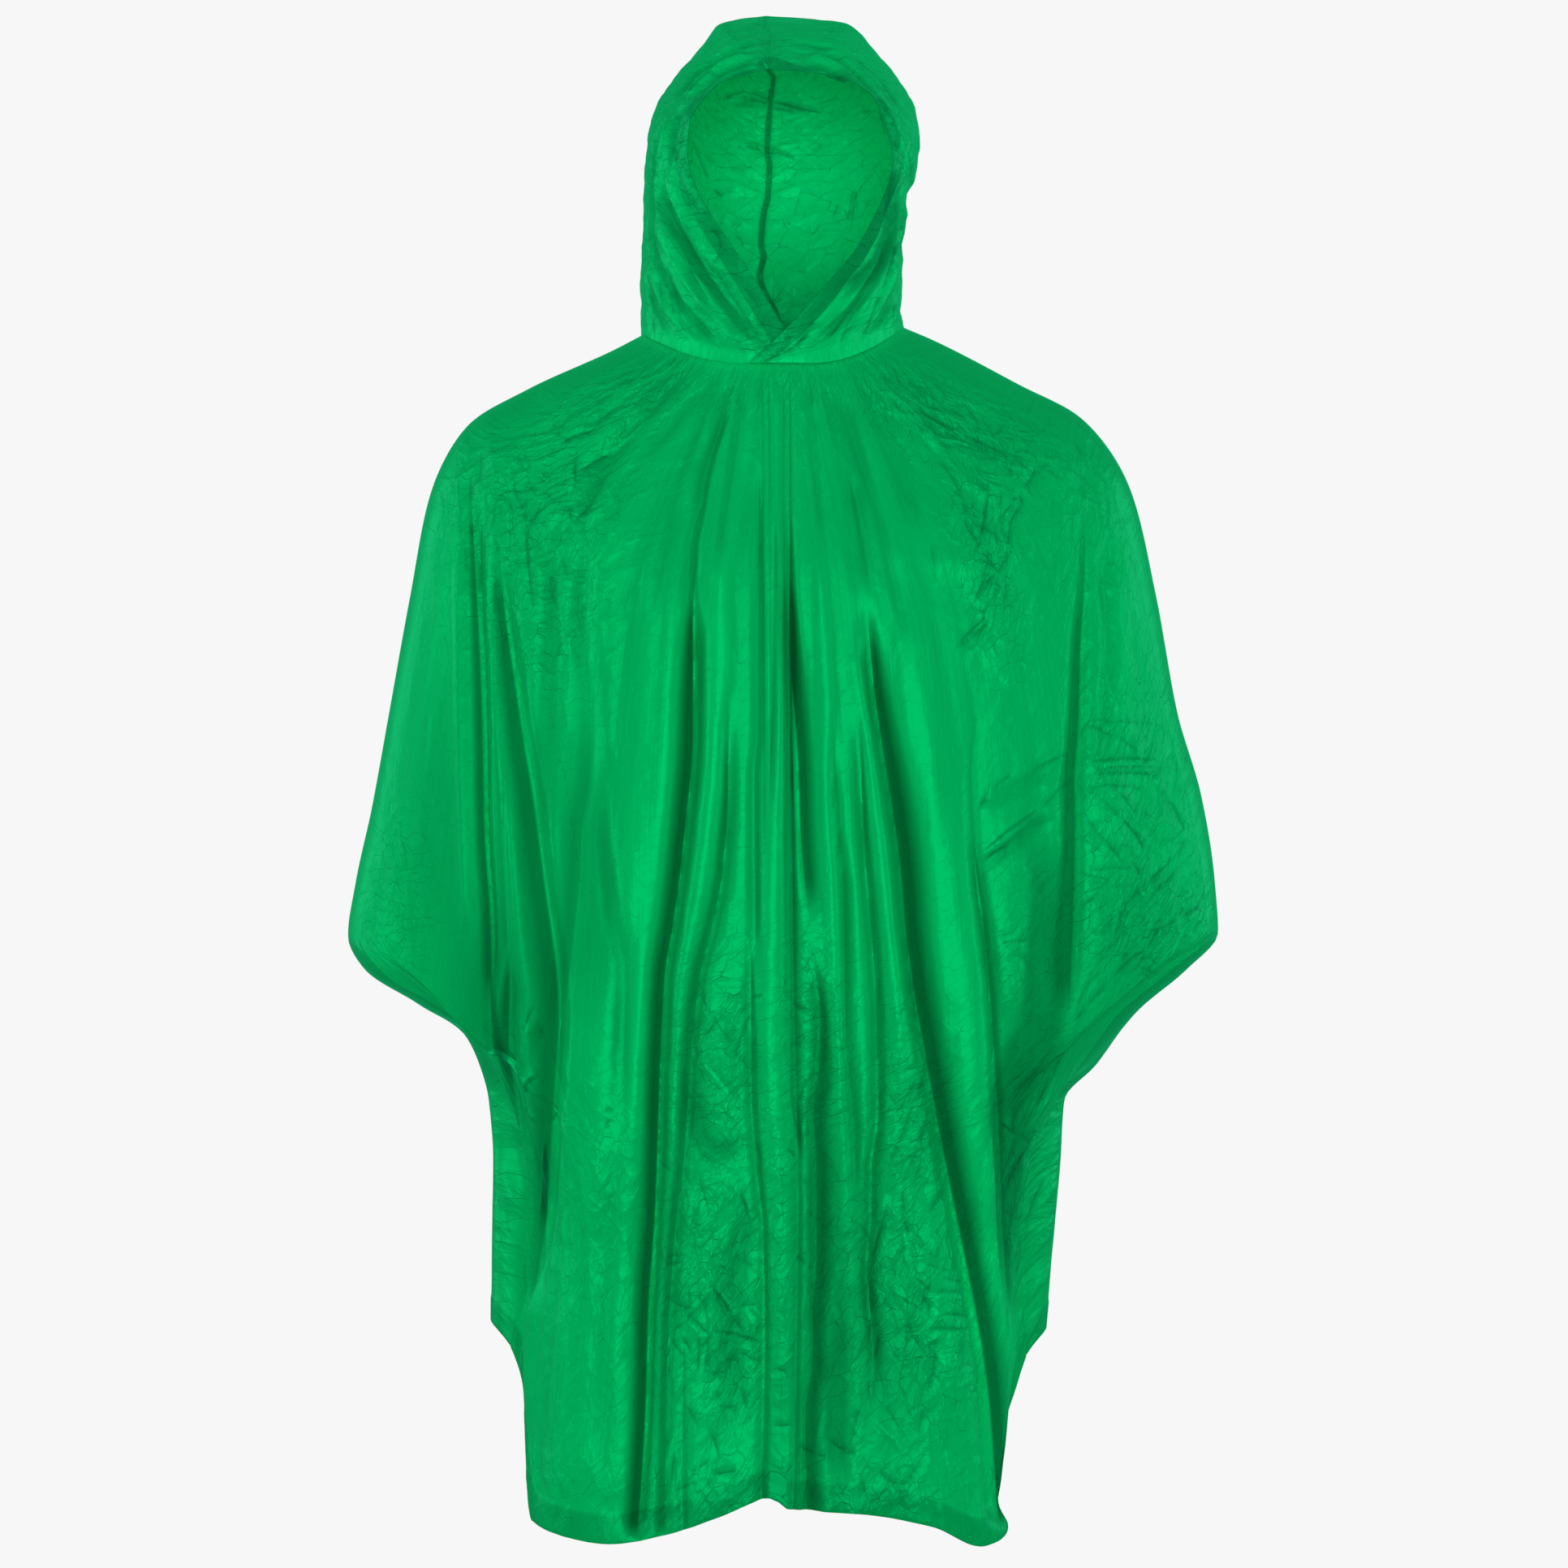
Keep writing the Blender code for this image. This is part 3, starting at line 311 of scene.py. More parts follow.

# Fine creases pressed in, listed in millimetres: the points that each runs through, x and z in
# turn, and how strongly it stands out (or dips, if negative), which also sets the light and shade
# painted along it.
FRONT_LINES = {
    "left shoulder": (
        (-91, -62, -116, -84, -128, -91, 7), (-123, -90, -149, -106, -9),
        (-118, -53, -128, -61, -140, -69, -9), (-128, -70, -152, -77, -165, -83, -9),
        (-169, -73, -155, -80, -6), (-191, -83, -169, -75, 6), (-169, -90, -165, -83, -6),
        (-149, -88, -151, -104, -149, -116, -8), (-149, -116, -153, -122, -5), (-153, -109, -165, -117, -6),
        (-135, -128, -150, -145, -8), (-177, -105, -169, -110, -8), (-193, -114, -177, -120, -6),
        (-177, -120, -164, -128, -6), (-163, -128, -152, -120, -6),
        (-165, -129, -154, -134, -154, -143, -6), (-154, -143, -155, -151, -159, -153, -6),
        (-176, -134, -185, -146, -9), (-196, -89, -191, -101, -184, -106, -5),
        (-199, -107, -196, -123, -189, -134, -7), (-189, -134, -190, -141, -6),
        (-203, -122, -210, -121, -6), (-203, -123, -198, -136, -5), (-209, -128, -207, -139, -5),
        (-232, -105, -232, -126, -8), (-234, -141, -229, -154, -7), (-224, -86, -225, -112, -5),
        (-223, -143, -223, -169, -224, -198, -6), (-215, -145, -216, -182, -217, -216, 5),
        (-188, -141, -186, -171, -180, -216, -9), (-212, -155, -209, -166, -5),
        (-160, -170, -155, -186, -6), (-167, -183, -169, -195, -163, -211, -6), (-152, -60, -120, -44, -5),
        (-139, -67, -117, -55, 5), (-125, -67, -92, -56, -6), (-116, -64, -81, -50, 5),
        (-136, -182, -125, -162, 5), (-142, -151, -140, -166, -5), (-213, -124, -213, -145, -6),
        (-212, -182, -211, -216, -7), (-236, -159, -234, -180, -6),
    ),
    "right shoulder": (
        (95, -42, 121, -59, 6), (121, -59, 145, -66, 5), (104, -56, 123, -65, 140, -73, -8),
        (140, -73, 144, -69, -6), (136, -78, 144, -75, -6), (147, -77, 163, -84, 184, -94, -9),
        (147, -73, 167, -78, 186, -88, 6), (146, -70, 166, -75, 186, -84, -5),
        (136, -83, 155, -88, 164, -90, -7), (116, -83, 129, -81, 138, -80, 5),
        (184, -94, 189, -94, 198, -99, -5), (183, -107, 182, -101, 186, -94, -7),
        (203, -98, 197, -110, 192, -116, -8), (189, -119, 189, -130, -8),
        (189, -130, 183, -139, 180, -146, -8), (182, -128, 188, -124, -6), (180, -146, 178, -165, -7),
        (178, -165, 172, -182, -8), (185, -129, 178, -134, 170, -144, -5),
        (164, -119, 160, -144, 157, -156, -9), (167, -119, 162, -141, 5),
        (144, -142, 150, -154, 158, -165, -9), (126, -96, 136, -110, 144, -128, -6),
        (144, -128, 146, -139, -5), (158, -168, 164, -174, 172, -183, -8), (151, -176, 158, -173, -5),
        (163, -182, 157, -194, 152, -205, -8), (169, -183, 160, -191, -6), (169, -189, 166, -208, -5),
        (177, -183, 175, -206, -5), (149, -210, 161, -214, -6), (163, -214, 151, -226, 140, -237, -9),
        (164, -218, 150, -233, -6), (140, -240, 149, -234, -6), (232, -78, 241, -93, -5),
        (121, -26, 161, -47, 177, -55, 4), (119, -159, 123, -190, -5), (174, -97, 181, -104, -5),
        (194, -87, 203, -94, -5), (173, -133, 175, -121, -5), (157, -95, 172, -94, -5),
    ),
    "right sleeve": (
        (236, -294, 272, -296, 297, -297, -5), (237, -296, 248, -302, 263, -307, -7),
        (263, -307, 272, -313, 280, -319, -6), (238, -326, 265, -324, 302, -325, -9),
        (238, -328, 272, -328, 300, -328, 4), (238, -332, 274, -330, 302, -330, -5),
        (235, -335, 274, -335, 302, -337, -8), (237, -346, 256, -344, 285, -346, -6),
        (263, -347, 271, -359, 280, -369, -6), (248, -353, 265, -369, -5),
        (264, -368, 277, -382, 285, -396, -9), (235, -366, 251, -385, 269, -407, -7),
        (237, -408, 261, -407, 275, -408, -5), (229, -410, 258, -415, -5), (319, -384, 309, -398, -6),
        (309, -398, 285, -418, -7), (285, -418, 265, -437, -7), (265, -437, 245, -458, -7),
        (319, -379, 297, -351, -5), (313, -405, 297, -421, 280, -439, -6), (284, -431, 277, -424, -5),
        (274, -402, 282, -416, -8), (331, -437, 323, -439, 311, -447, -10), (311, -447, 294, -453, -7),
        (294, -453, 285, -468, -10), (285, -468, 272, -475, 256, -491, -9), (256, -491, 238, -509, -8),
        (238, -509, 229, -521, -6), (268, -437, 260, -458, -7), (251, -481, 239, -494, 229, -512, -6),
        (292, -442, 288, -447, 285, -455, 6), (302, -447, 294, -446, 288, -452, -5),
        (277, -481, 294, -489, -7), (279, -486, 289, -492, -6), (275, -477, 288, -475, 293, -483, -5),
        (228, -318, 211, -325, 197, -332, -6), (226, -339, 204, -359, -6),
        (204, -359, 175, -379, 156, -395, -8), (193, -373, 158, -402, -5), (182, -333, 164, -348, -6),
        (164, -348, 156, -359, -8), (156, -405, 170, -392, 180, -390, -5), (203, -424, 207, -415, -6),
        (177, -461, 194, -461, -5), (174, -455, 175, -464, -7), (181, -472, 189, -474, 195, -485, -5),
        (261, -417, 261, -428, -5), (305, -356, 318, -379, -6), (257, -347, 263, -343, -5),
        (272, -397, 279, -399, -5), (242, -443, 247, -449, 5), (236, -424, 240, -434, -5),
        (248, -453, 243, -467, 5),
    ),
    "waist": (
        (-54, -501, -46, -514, -8), (-46, -514, -30, -537, -6), (-44, -515, -44, -524, -53, -534, -7),
        (-58, -542, -55, -548, -8), (-55, -548, -38, -568, -30, -579, 7),
        (-52, -548, -35, -568, -28, -579, -5), (-18, -504, -24, -517, -30, -530, -6),
        (-16, -513, -23, -531, -29, -551, -9), (-20, -512, -26, -529, 5), (-27, -544, -20, -553, -6),
        (-15, -502, -7, -502, -7), (-33, -503, -18, -502, -5), (-20, -563, -17, -571, -5),
        (-24, -648, -18, -667, -9), (-21, -648, -15, -667, 5), (-12, -611, -8, -628, -6),
        (11, -616, 17, -621, -8), (-57, -612, -43, -622, -21, -634, 8), (19, -580, 21, -626, -5),
        (24, -565, 20, -580, -6), (16, -511, 31, -513, -8), (15, -508, 27, -511, -6),
        (16, -515, 28, -517, 5), (17, -532, 26, -531, -5), (15, -540, 23, -536, -5),
        (24, -651, 25, -667, 5), (27, -662, 30, -667, -7), (-86, -626, -75, -634, -5),
        (-63, -657, -53, -660, 5), (-61, -670, -52, -674, -5), (-62, -665, -54, -667, -5),
        (-80, -699, -66, -696, -6), (-58, -626, -50, -654, -46, -670, -4), (-50, -504, -47, -517, 5),
        (-52, -526, -47, -523, -6), (-55, -552, -52, -564, -5), (24, -608, 32, -602, -5),
        (24, -637, 27, -649, -5),
    ),
    "low middle": (
        (-47, -717, -39, -728, -29, -743, -9), (-44, -717, -36, -728, -26, -742, 5),
        (-29, -743, -21, -755, -8), (-21, -755, -8, -762, -7), (-61, -742, -55, -748, -47, -756, -8),
        (-58, -737, -63, -741, -63, -747, -9), (-78, -742, -81, -740, -5), (-81, -705, -65, -701, -7),
        (-79, -731, -71, -733, -58, -737, -7), (-52, -765, -47, -758, -8), (-47, -758, -42, -753, -7),
        (-42, -753, -26, -756, -8, -762, -8), (-41, -751, -25, -753, -9, -759, 5),
        (-26, -767, -16, -773, -7, -777, -7), (-32, -764, -10, -767, 5), (-35, -775, -25, -775, -6),
        (-48, -761, -51, -787, -9), (-55, -753, -56, -787, -7), (-52, -764, -54, -789, 6),
        (-48, -787, -39, -784, -32, -782, -5), (-43, -795, -38, -807, -8), (-23, -795, -20, -810, -7),
        (-42, -808, -25, -812, -6), (-8, -800, -18, -813, -6), (-13, -815, -21, -821, -6),
        (-48, -826, -43, -835, -40, -847, -7), (-74, -831, -81, -860, 8), (-73, -840, -76, -866, -8),
        (-55, -855, -49, -851, -7), (-60, -861, -56, -855, -6), (-75, -874, -52, -864, -5),
        (-47, -860, -35, -859, -26, -857, -9), (-64, -809, -55, -825, -5), (5, -779, 16, -770, 6),
        (0, -781, 11, -782, -7), (-2, -787, 9, -787, 5), (19, -697, 27, -704, -8), (27, -704, 31, -707, -6),
        (25, -718, 21, -746, 5), (27, -748, 22, -759, 6), (21, -838, 25, -843, 33, -846, -8),
        (33, -846, 41, -847, -7), (42, -833, 49, -840, 55, -844, -9), (55, -844, 62, -844, -9),
        (39, -812, 33, -838, 5), (42, -816, 38, -838, -5), (49, -782, 58, -791, 5), (45, -733, 48, -746, 5),
        (61, -835, 63, -818, 67, -810, -8), (67, -865, 70, -872, -7), (73, -714, 74, -743, -9),
        (74, -743, 73, -764, -8), (80, -753, 76, -777, -9), (72, -787, 72, -808, -8),
        (68, -728, 70, -752, -5), (-77, -758, -66, -773, -6), (-74, -753, -66, -748, -5),
        (-65, -719, -54, -716, -5), (-54, -725, -58, -731, -5), (-50, -729, -48, -744, -5),
        (-41, -731, -35, -740, -5), (-33, -716, -30, -728, -5), (-16, -746, -10, -752, -5),
        (-24, -734, -10, -733, -5), (-38, -759, -33, -767, -5), (-67, -758, -60, -769, -7),
        (-29, -769, -19, -768, 5), (-26, -699, -13, -704, -5), (-40, -701, -32, -710, -5),
        (66, -789, 61, -803, 5), (1, -824, 16, -823, -6),
    ),
    "right of the middle": (
        (104, -482, 103, -501, -5), (106, -493, 107, -524, -6), (101, -504, 96, -514, -5),
        (87, -546, 103, -547, 5), (92, -557, 110, -556, -5), (110, -559, 100, -577, 92, -590, -7),
        (114, -560, 107, -580, -7), (107, -580, 94, -611, -8), (94, -611, 87, -626, -8),
        (117, -571, 111, -587, 103, -599, -5), (115, -593, 110, -616, -8), (110, -616, 101, -631, -7),
        (101, -631, 97, -646, -7), (112, -623, 106, -640, -6), (86, -574, 94, -585, -7),
        (94, -591, 98, -597, -7), (117, -666, 132, -648, -5), (97, -648, 98, -668, -8),
        (98, -668, 104, -685, -8), (98, -676, 103, -701, 7), (99, -695, 105, -708, 7),
        (104, -677, 117, -684, 130, -694, 5), (103, -684, 124, -699, -5), (81, -671, 75, -701, -5),
        (87, -654, 74, -702, -6), (218, -548, 212, -565, -6), (212, -565, 198, -588, 189, -603, -8),
        (170, -598, 180, -605, 184, -609, -8), (173, -596, 181, -603, 5),
        (182, -590, 181, -599, 183, -608, -6), (184, -609, 180, -623, 175, -637, -8),
        (181, -620, 187, -633, -5), (189, -609, 197, -619, -5), (198, -617, 189, -634, 179, -650, -9),
        (197, -605, 201, -611, 209, -617, -6), (199, -604, 204, -609, 211, -614, 5),
        (211, -623, 203, -630, 197, -640, -7), (211, -642, 195, -659, 186, -670, -6),
        (211, -651, 203, -665, 197, -684, -9), (176, -668, 186, -677, -8), (186, -680, 195, -680, -5),
        (170, -606, 174, -613, -5), (93, -574, 88, -564, 5), (96, -602, 90, -609, 5),
    ),
    "low right": (
        (91, -722, 104, -730, 116, -738, 7), (92, -725, 104, -732, 116, -739, -5),
        (116, -738, 128, -741, 6), (128, -740, 138, -742, 150, -745, -9), (112, -725, 118, -737, -8),
        (115, -725, 131, -724, 146, -727, -7), (113, -727, 130, -727, 5),
        (105, -711, 115, -720, 119, -724, -6), (99, -695, 105, -708, 7), (107, -711, 117, -719, 5),
        (128, -714, 144, -719, -5), (138, -716, 146, -720, -5), (113, -702, 136, -710, -5),
        (116, -751, 136, -752, 150, -754, -9), (112, -753, 118, -757, 123, -758, 7),
        (127, -743, 122, -752, -5), (123, -756, 121, -785, 116, -799, -8), (113, -808, 110, -834, -6),
        (112, -850, 104, -861, 102, -869, -7), (79, -856, 87, -865, 95, -868, -8),
        (95, -868, 102, -867, -7), (89, -869, 98, -874, -5), (79, -822, 92, -834, 97, -844, 5),
        (84, -808, 93, -822, 104, -838, -5), (80, -782, 85, -806, -5), (127, -777, 140, -778, 5),
        (143, -778, 152, -783, -5), (138, -796, 146, -793, 154, -792, 5), (157, -791, 161, -806, -5),
        (147, -801, 157, -801, -5), (170, -872, 173, -883, -6), (164, -860, 170, -873, -5),
        (130, -830, 130, -836, -6), (101, -743, 99, -779, -6), (102, -748, 109, -764, -6),
        (132, -731, 143, -736, -5),
    ),
    "left side": (
        (-191, -576, -186, -565, -176, -559, 8), (-189, -578, -184, -569, -177, -563, -6),
        (-189, -577, -183, -574, -7), (-186, -591, -178, -597, 7), (-188, -594, -180, -600, -5),
        (-188, -530, -179, -510, -7), (-176, -524, -173, -534, -6), (-185, -608, -183, -620, -6),
        (-154, -662, -159, -677, -157, -694, 5), (-166, -600, -162, -591, -6), (-125, -587, -119, -588, -6),
        (-125, -600, -120, -594, -5), (-139, -565, -134, -570, 5), (-104, -654, -98, -643, 6),
        (-105, -642, -99, -630, 6), (-102, -653, -97, -642, -5), (-208, -673, -205, -696, -5),
        (-197, -546, -193, -552, -5),
    ),
    "left sleeve": (
        (-262, -279, -264, -327, 4),
    ),
}
# The groups of them that the back has too, turned left for right
BACK_GROUPS = ("left shoulder", "right shoulder", "right sleeve", "low middle", "low right")
HOOD_LINES = {
    "left half": (
        (-30, 218, 8, 218, 4), (-28, 222, 10, 222, -5), (-56, 186, -41, 196, -16, 202, 5),
        (-43, 209, -60, 194, -79, 167, -6), (-46, 203, -61, 189, -75, 175, 5),
        (-53, 172, -64, 157, -70, 130, 7), (-70, 130, -66, 115, -59, 100, 7), (-50, 189, -55, 175, -5),
        (-74, 169, -72, 150, 5), (-77, 145, -72, 129, -5), (-74, 146, -69, 130, 4), (-60, 106, -53, 91, 6),
        (-47, 78, -41, 72, -39, 60, -8), (-39, 60, -46, 53, -6), (-46, 52, -31, 28, -5, -13, -6),
        (-7, 197, -7, 184, -10), (-24, 183, -13, 194, -5), (-43, 191, -23, 198, -5, 202, 5),
        (-37, 188, -21, 195, -7, 199, -4), (-91, 101, -57, 43, -10, -11, 5), (-92, 89, -78, 52, -56, -1, 5),
        (-79, 40, -75, 16, -8), (-92, 81, -88, 62, -6), (-85, 62, -75, 37, -69, 8, -5),
        (-89, 76, -78, 37, -72, 7, 4), (-88, 52, -84, 13, -6), (-93, 43, -92, 1, -6),
        (-96, 61, -95, 31, -5), (-80, 98, -66, 67, 4), (-22, 34, -10, 18, -4), (-28, 38, -18, 24, 4),
        (-16, 13, -7, 1, -4), (-71, 92, -57, 64, -5), (-64, 92, -50, 67, 4), (-54, 61, -43, 43, -4),
        (-58, 43, -43, 19, 4), (-83, 152, -91, 128, -4), (-84, 140, -88, 104, 4), (-66, 183, -76, 171, 4),
        (-31, 214, -43, 206, 4),
    ),
    "right half": (
        (10, 222, 51, 223, -5), (8, 218, 53, 219, 4), (48, 223, 71, 198, 94, 169, 6),
        (51, 223, 76, 198, 98, 169, -5), (55, 223, 82, 199, 100, 170, -6), (93, 169, 99, 152, 97, 135, 7),
        (97, 135, 95, 122, 92, 106, 6), (103, 144, 98, 122, 93, 104, -5), (8, 208, 14, 202, -5),
        (17, 209, 30, 206, 4), (-6, 195, 14, 196, 31, 193, -6), (31, 193, 48, 192, 60, 184, -6),
        (42, 197, 61, 194, 72, 188, 4), (100, 96, 90, 84, 82, 70, 5), (106, 101, 102, 93, 99, 85, -7),
        (85, 62, 68, 37, 56, 22, 5), (56, 22, 43, 4, 31, -14, 4), (79, 49, 61, 16, 36, -13, 5),
        (96, 75, 90, 55, 84, 37, -9), (84, 37, 77, 19, 70, 2, -9), (70, 2, 65, -11, -7),
        (90, 45, 79, 19, 68, -11, 5), (75, 41, 53, 11, 41, -7, -7), (70, 28, 58, 11, 48, -18, -6),
        (74, 28, 65, 9, 55, -13, 5), (30, 2, 17, -11, 8, -17, -9), (8, -17, -10, -24, -9),
        (33, 11, 20, -7, -6), (17, 2, 10, -6, -5), (-2, -15, 5, -12, 13, -11, 6), (1, -18, 8, -14, -5),
        (90, 1, 98, -7, -4), (95, 37, 93, 13, -5), (98, 61, 95, 43, 4), (95, 164, 101, 143, 4),
        (105, 140, 102, 119, -5), (101, 117, 95, 95, 5), (104, 110, 98, 84, -4), (65, 192, 81, 175, 4),
        (68, 188, 84, 167, -4), (93, 92, 85, 76, -5),
    ),
    "back wall": (
        (-43, 213, -31, 219, -20, 222, -7), (-20, 222, -2, 215, -8), (-2, 215, 21, 208, 43, 204, -10),
        (-20, 215, -3, 213, -7), (0, 210, 18, 206, -6), (-19, 225, -3, 220, 4), (35, 211, 57, 215, -4),
        (-25, 179, -6, 175, -5), (-6, 175, 12, 171, 28, 164, -6), (21, 187, 38, 188, -4),
        (-33, 161, -19, 163, -4), (-49, 142, -40, 134, -8), (-33, 105, -22, 97, -5), (18, 108, 32, 110, -4),
        (-8, 95, 16, 94, -5), (10, 114, 17, 114, -5), (18, 75, 28, 71, -4), (24, 146, 16, 120, -4),
        (33, 169, 40, 181, -4), (10, 147, 21, 159, -4), (53, 130, 48, 116, -6), (57, 124, 62, 114, -5),
        (65, 142, 61, 114, -7), (69, 142, 62, 103, -4), (71, 218, 84, 213, -7), (71, 201, 81, 201, -6),
        (85, 204, 92, 179, -6), (-70, 188, -60, 164, -51, 144, -6), (-56, 199, -53, 181, -4),
        (-55, 171, -52, 154, 4), (-48, 131, -45, 111, 5), (-41, 123, -44, 108, -5),
    ),
}

# Places where shade (or light, if negative) is painted into the film's colour: middle x and z, half
# width, half height, turn in degrees, and by how much
FRONT_PAINTED_SHADE = {
    "left side": (-0.212, -0.51, 0.034, 0.08, 0, 0.38),
    "left flank": (-0.205, -0.64, 0.026, 0.09, 0, 0.24),
    "left sleeve": (-0.254, -0.37, 0.045, 0.15, 0, 0.2),
    "left shoulder": (-0.172, -0.055, 0.062, 0.07, 0, -0.18),
    "left main": (-0.06, -0.64, 0.03, 0.16, 0, 0.08),
    "low left": (-0.115, -0.74, 0.034, 0.13, 0, 0.06),
    "low middle": (0.042, -0.72, 0.045, 0.16, 0, 0.24),
    "low centre": (-0.03, -0.72, 0.026, 0.09, 0, -0.05),
    "low right": (0.11, -0.79, 0.034, 0.08, 0, 0.14),
    "right side": (0.206, -0.56, 0.026, 0.11, 0, 0.08),
    "right low": (0.19, -0.77, 0.04, 0.13, 0, -0.24),
    "right sleeve": (0.266, -0.48, 0.04, 0.08, 0, 0.14),
    "right underarm": (0.232, -0.55, 0.04, 0.04, 0, 0.14),
}
BACK_PAINTED_SHADE = {
    "left side": (-0.206, -0.56, 0.03, 0.12, 0, 0.22),
    "right side": (0.212, -0.56, 0.03, 0.12, 0, 0.22),
}

# Crumpled places: middle x and z, half width, half height, turn in degrees, and how crumpled
FRONT_CRUMPLES = {
    "left shoulder": (-0.176, -0.12, 0.062, 0.06, 20, 1.0),
    "left shoulder slope": (-0.13, -0.056, 0.085, 0.026, 28, 0.9),
    "left chest": (-0.18, -0.2, 0.05, 0.07, 0, 0.6),
    "neck": (0.01, -0.044, 0.11, 0.02, 0, 0.3),
    "right shoulder": (0.15, -0.072, 0.09, 0.03, -25, 1.0),
    "right chest": (0.163, -0.16, 0.026, 0.09, 8, 1.0),
    "right arm": (0.24, -0.14, 0.04, 0.09, 0, 0.35),
    "right sleeve": (0.275, -0.34, 0.05, 0.08, 0, 0.8),
    "right sleeve hem": (0.285, -0.44, 0.055, 0.05, 30, 1.0),
    "right elbow": (0.2, -0.47, 0.034, 0.08, 0, 0.5),
    "left sleeve": (-0.28, -0.42, 0.03, 0.06, 0, 0.35),
    "belly": (-0.04, -0.56, 0.034, 0.09, 0, 0.7),
    "low middle": (-0.046, -0.73, 0.05, 0.09, 0, 1.0),
    "low left": (-0.13, -0.7, 0.04, 0.12, 0, 0.3),
    "strip": (0.006, -0.7, 0.018, 0.12, 0, 0.5),
    "centre right": (0.03, -0.54, 0.026, 0.08, 0, 0.8),
    "crease zone": (0.104, -0.6, 0.03, 0.08, 0, 0.9),
    "low right": (0.1, -0.73, 0.07, 0.1, 20, 0.9),
    "low centre right": (0.056, -0.73, 0.03, 0.1, 0, 0.8),
    "right side": (0.2, -0.64, 0.03, 0.12, 0, 1.0),
    "left side": (-0.206, -0.64, 0.02, 0.12, 0, 0.5),
    "hem": (0.01, -0.87, 0.2, 0.03, 0, 0.5),
}
BACK_CRUMPLES = {
    "left shoulder": (-0.16, -0.11, 0.08, 0.05, 20, 1.0),
    "right shoulder": (0.16, -0.1, 0.08, 0.05, -20, 1.0),
    "seat": (0.02, -0.62, 0.11, 0.1, 0, 0.9),
    "low left": (-0.11, -0.76, 0.06, 0.09, 0, 0.9),
    "low right": (0.12, -0.74, 0.05, 0.09, 0, 0.6),
    "right sleeve": (0.275, -0.38, 0.05, 0.1, 0, 0.8),
    "left sleeve": (-0.27, -0.4, 0.04, 0.08, 0, 0.7),
    "right side": (0.196, -0.62, 0.03, 0.11, 0, 0.8),
    "left side": (-0.2, -0.64, 0.026, 0.11, 0, 0.7),
    "hem": (0.0, -0.86, 0.2, 0.03, 0, 0.5),
}

# Sections of the hood, from the neck seam up to the seam over the crown. lip is the edge round
# the face, side the widest point, and back the seam down the back of the head.
HOOD_FIELDS = ("lip_x", "lip_y", "lip_z", "side_x", "side_y", "side_z", "back_y", "back_z")
HOOD_LEFT_SECTIONS = {
    "neck": (0.024, -0.111, -0.024, -0.1036, 0.0, 0.0096, 0.095, 0.02),
    "chin": (0.01, -0.112, 0.002, -0.104, -0.002, 0.042, 0.095, 0.05),
    "jaw": (-0.009, -0.113, 0.033, -0.1035, -0.004, 0.07, 0.1, 0.085),
    "cheek": (-0.029, -0.114, 0.063, -0.1018, -0.006, 0.096, 0.106, 0.115),
    "nose": (-0.046, -0.114, 0.088, -0.1015, -0.006, 0.122, 0.111, 0.142),
    "eye": (-0.0585, -0.113, 0.112, -0.0998, -0.006, 0.147, 0.114, 0.164),
    "brow": (-0.064, -0.112, 0.137, -0.0975, -0.004, 0.17, 0.114, 0.182),
    "forehead": (-0.062, -0.112, 0.16, -0.09, 0.0, 0.193, 0.112, 0.198),
    "brim": (-0.05, -0.114, 0.178, -0.079, 0.006, 0.211, 0.108, 0.212),
    "upper brim": (-0.032, -0.117, 0.19, -0.062, 0.01, 0.232, 0.103, 0.224),
    "crown side": (-0.012, -0.12, 0.196, -0.036, 0.015, 0.2585, 0.097, 0.234),
    "crown": (0.007, -0.122, 0.198, 0.007, 0.02, 0.264, 0.09, 0.243),
}
HOOD_RIGHT_SECTIONS = {
    "neck": (-0.018, -0.116, -0.024, 0.1035, 0.0, 0.016, 0.095, 0.02),
    "chin": (0.011, -0.117, 0.002, 0.101, -0.002, 0.033, 0.095, 0.05),
    "jaw": (0.045, -0.117, 0.04, 0.1025, -0.004, 0.06, 0.1, 0.085),
    "cheek": (0.066, -0.116, 0.066, 0.1045, -0.006, 0.086, 0.106, 0.115),
    "nose": (0.078, -0.115, 0.088, 0.107, -0.006, 0.112, 0.111, 0.142),
    "eye": (0.088, -0.113, 0.11, 0.113, -0.006, 0.138, 0.114, 0.164),
    "brow": (0.092, -0.112, 0.134, 0.116, -0.004, 0.162, 0.114, 0.182),
    "forehead": (0.087, -0.112, 0.16, 0.112, 0.0, 0.188, 0.112, 0.198),
    "brim": (0.076, -0.114, 0.178, 0.1, 0.006, 0.211, 0.108, 0.212),
    "upper brim": (0.056, -0.117, 0.19, 0.083, 0.01, 0.233, 0.103, 0.224),
    "crown side": (0.033, -0.12, 0.196, 0.056, 0.015, 0.26, 0.097, 0.234),
    "crown": (0.007, -0.122, 0.198, 0.007, 0.02, 0.264, 0.09, 0.243),
}
# How far the hood's seam has run to the side at each height, in millimetres
HOOD_SEAM_RUN = (
    (20, 0), (59, -15), (71, -16), (87, -13), (97, -15), (124, -13), (138, -10), (164, -9),
    (175, -11), (215, -9), (233, -7), (240, -12), (264, -12),
)
HOOD_SEAM_X = 0.007  # the crown and back seam at the top, and CENTRE_X at the neck
LIP_REACH = 0.98  # the lip stays within this part of the half width

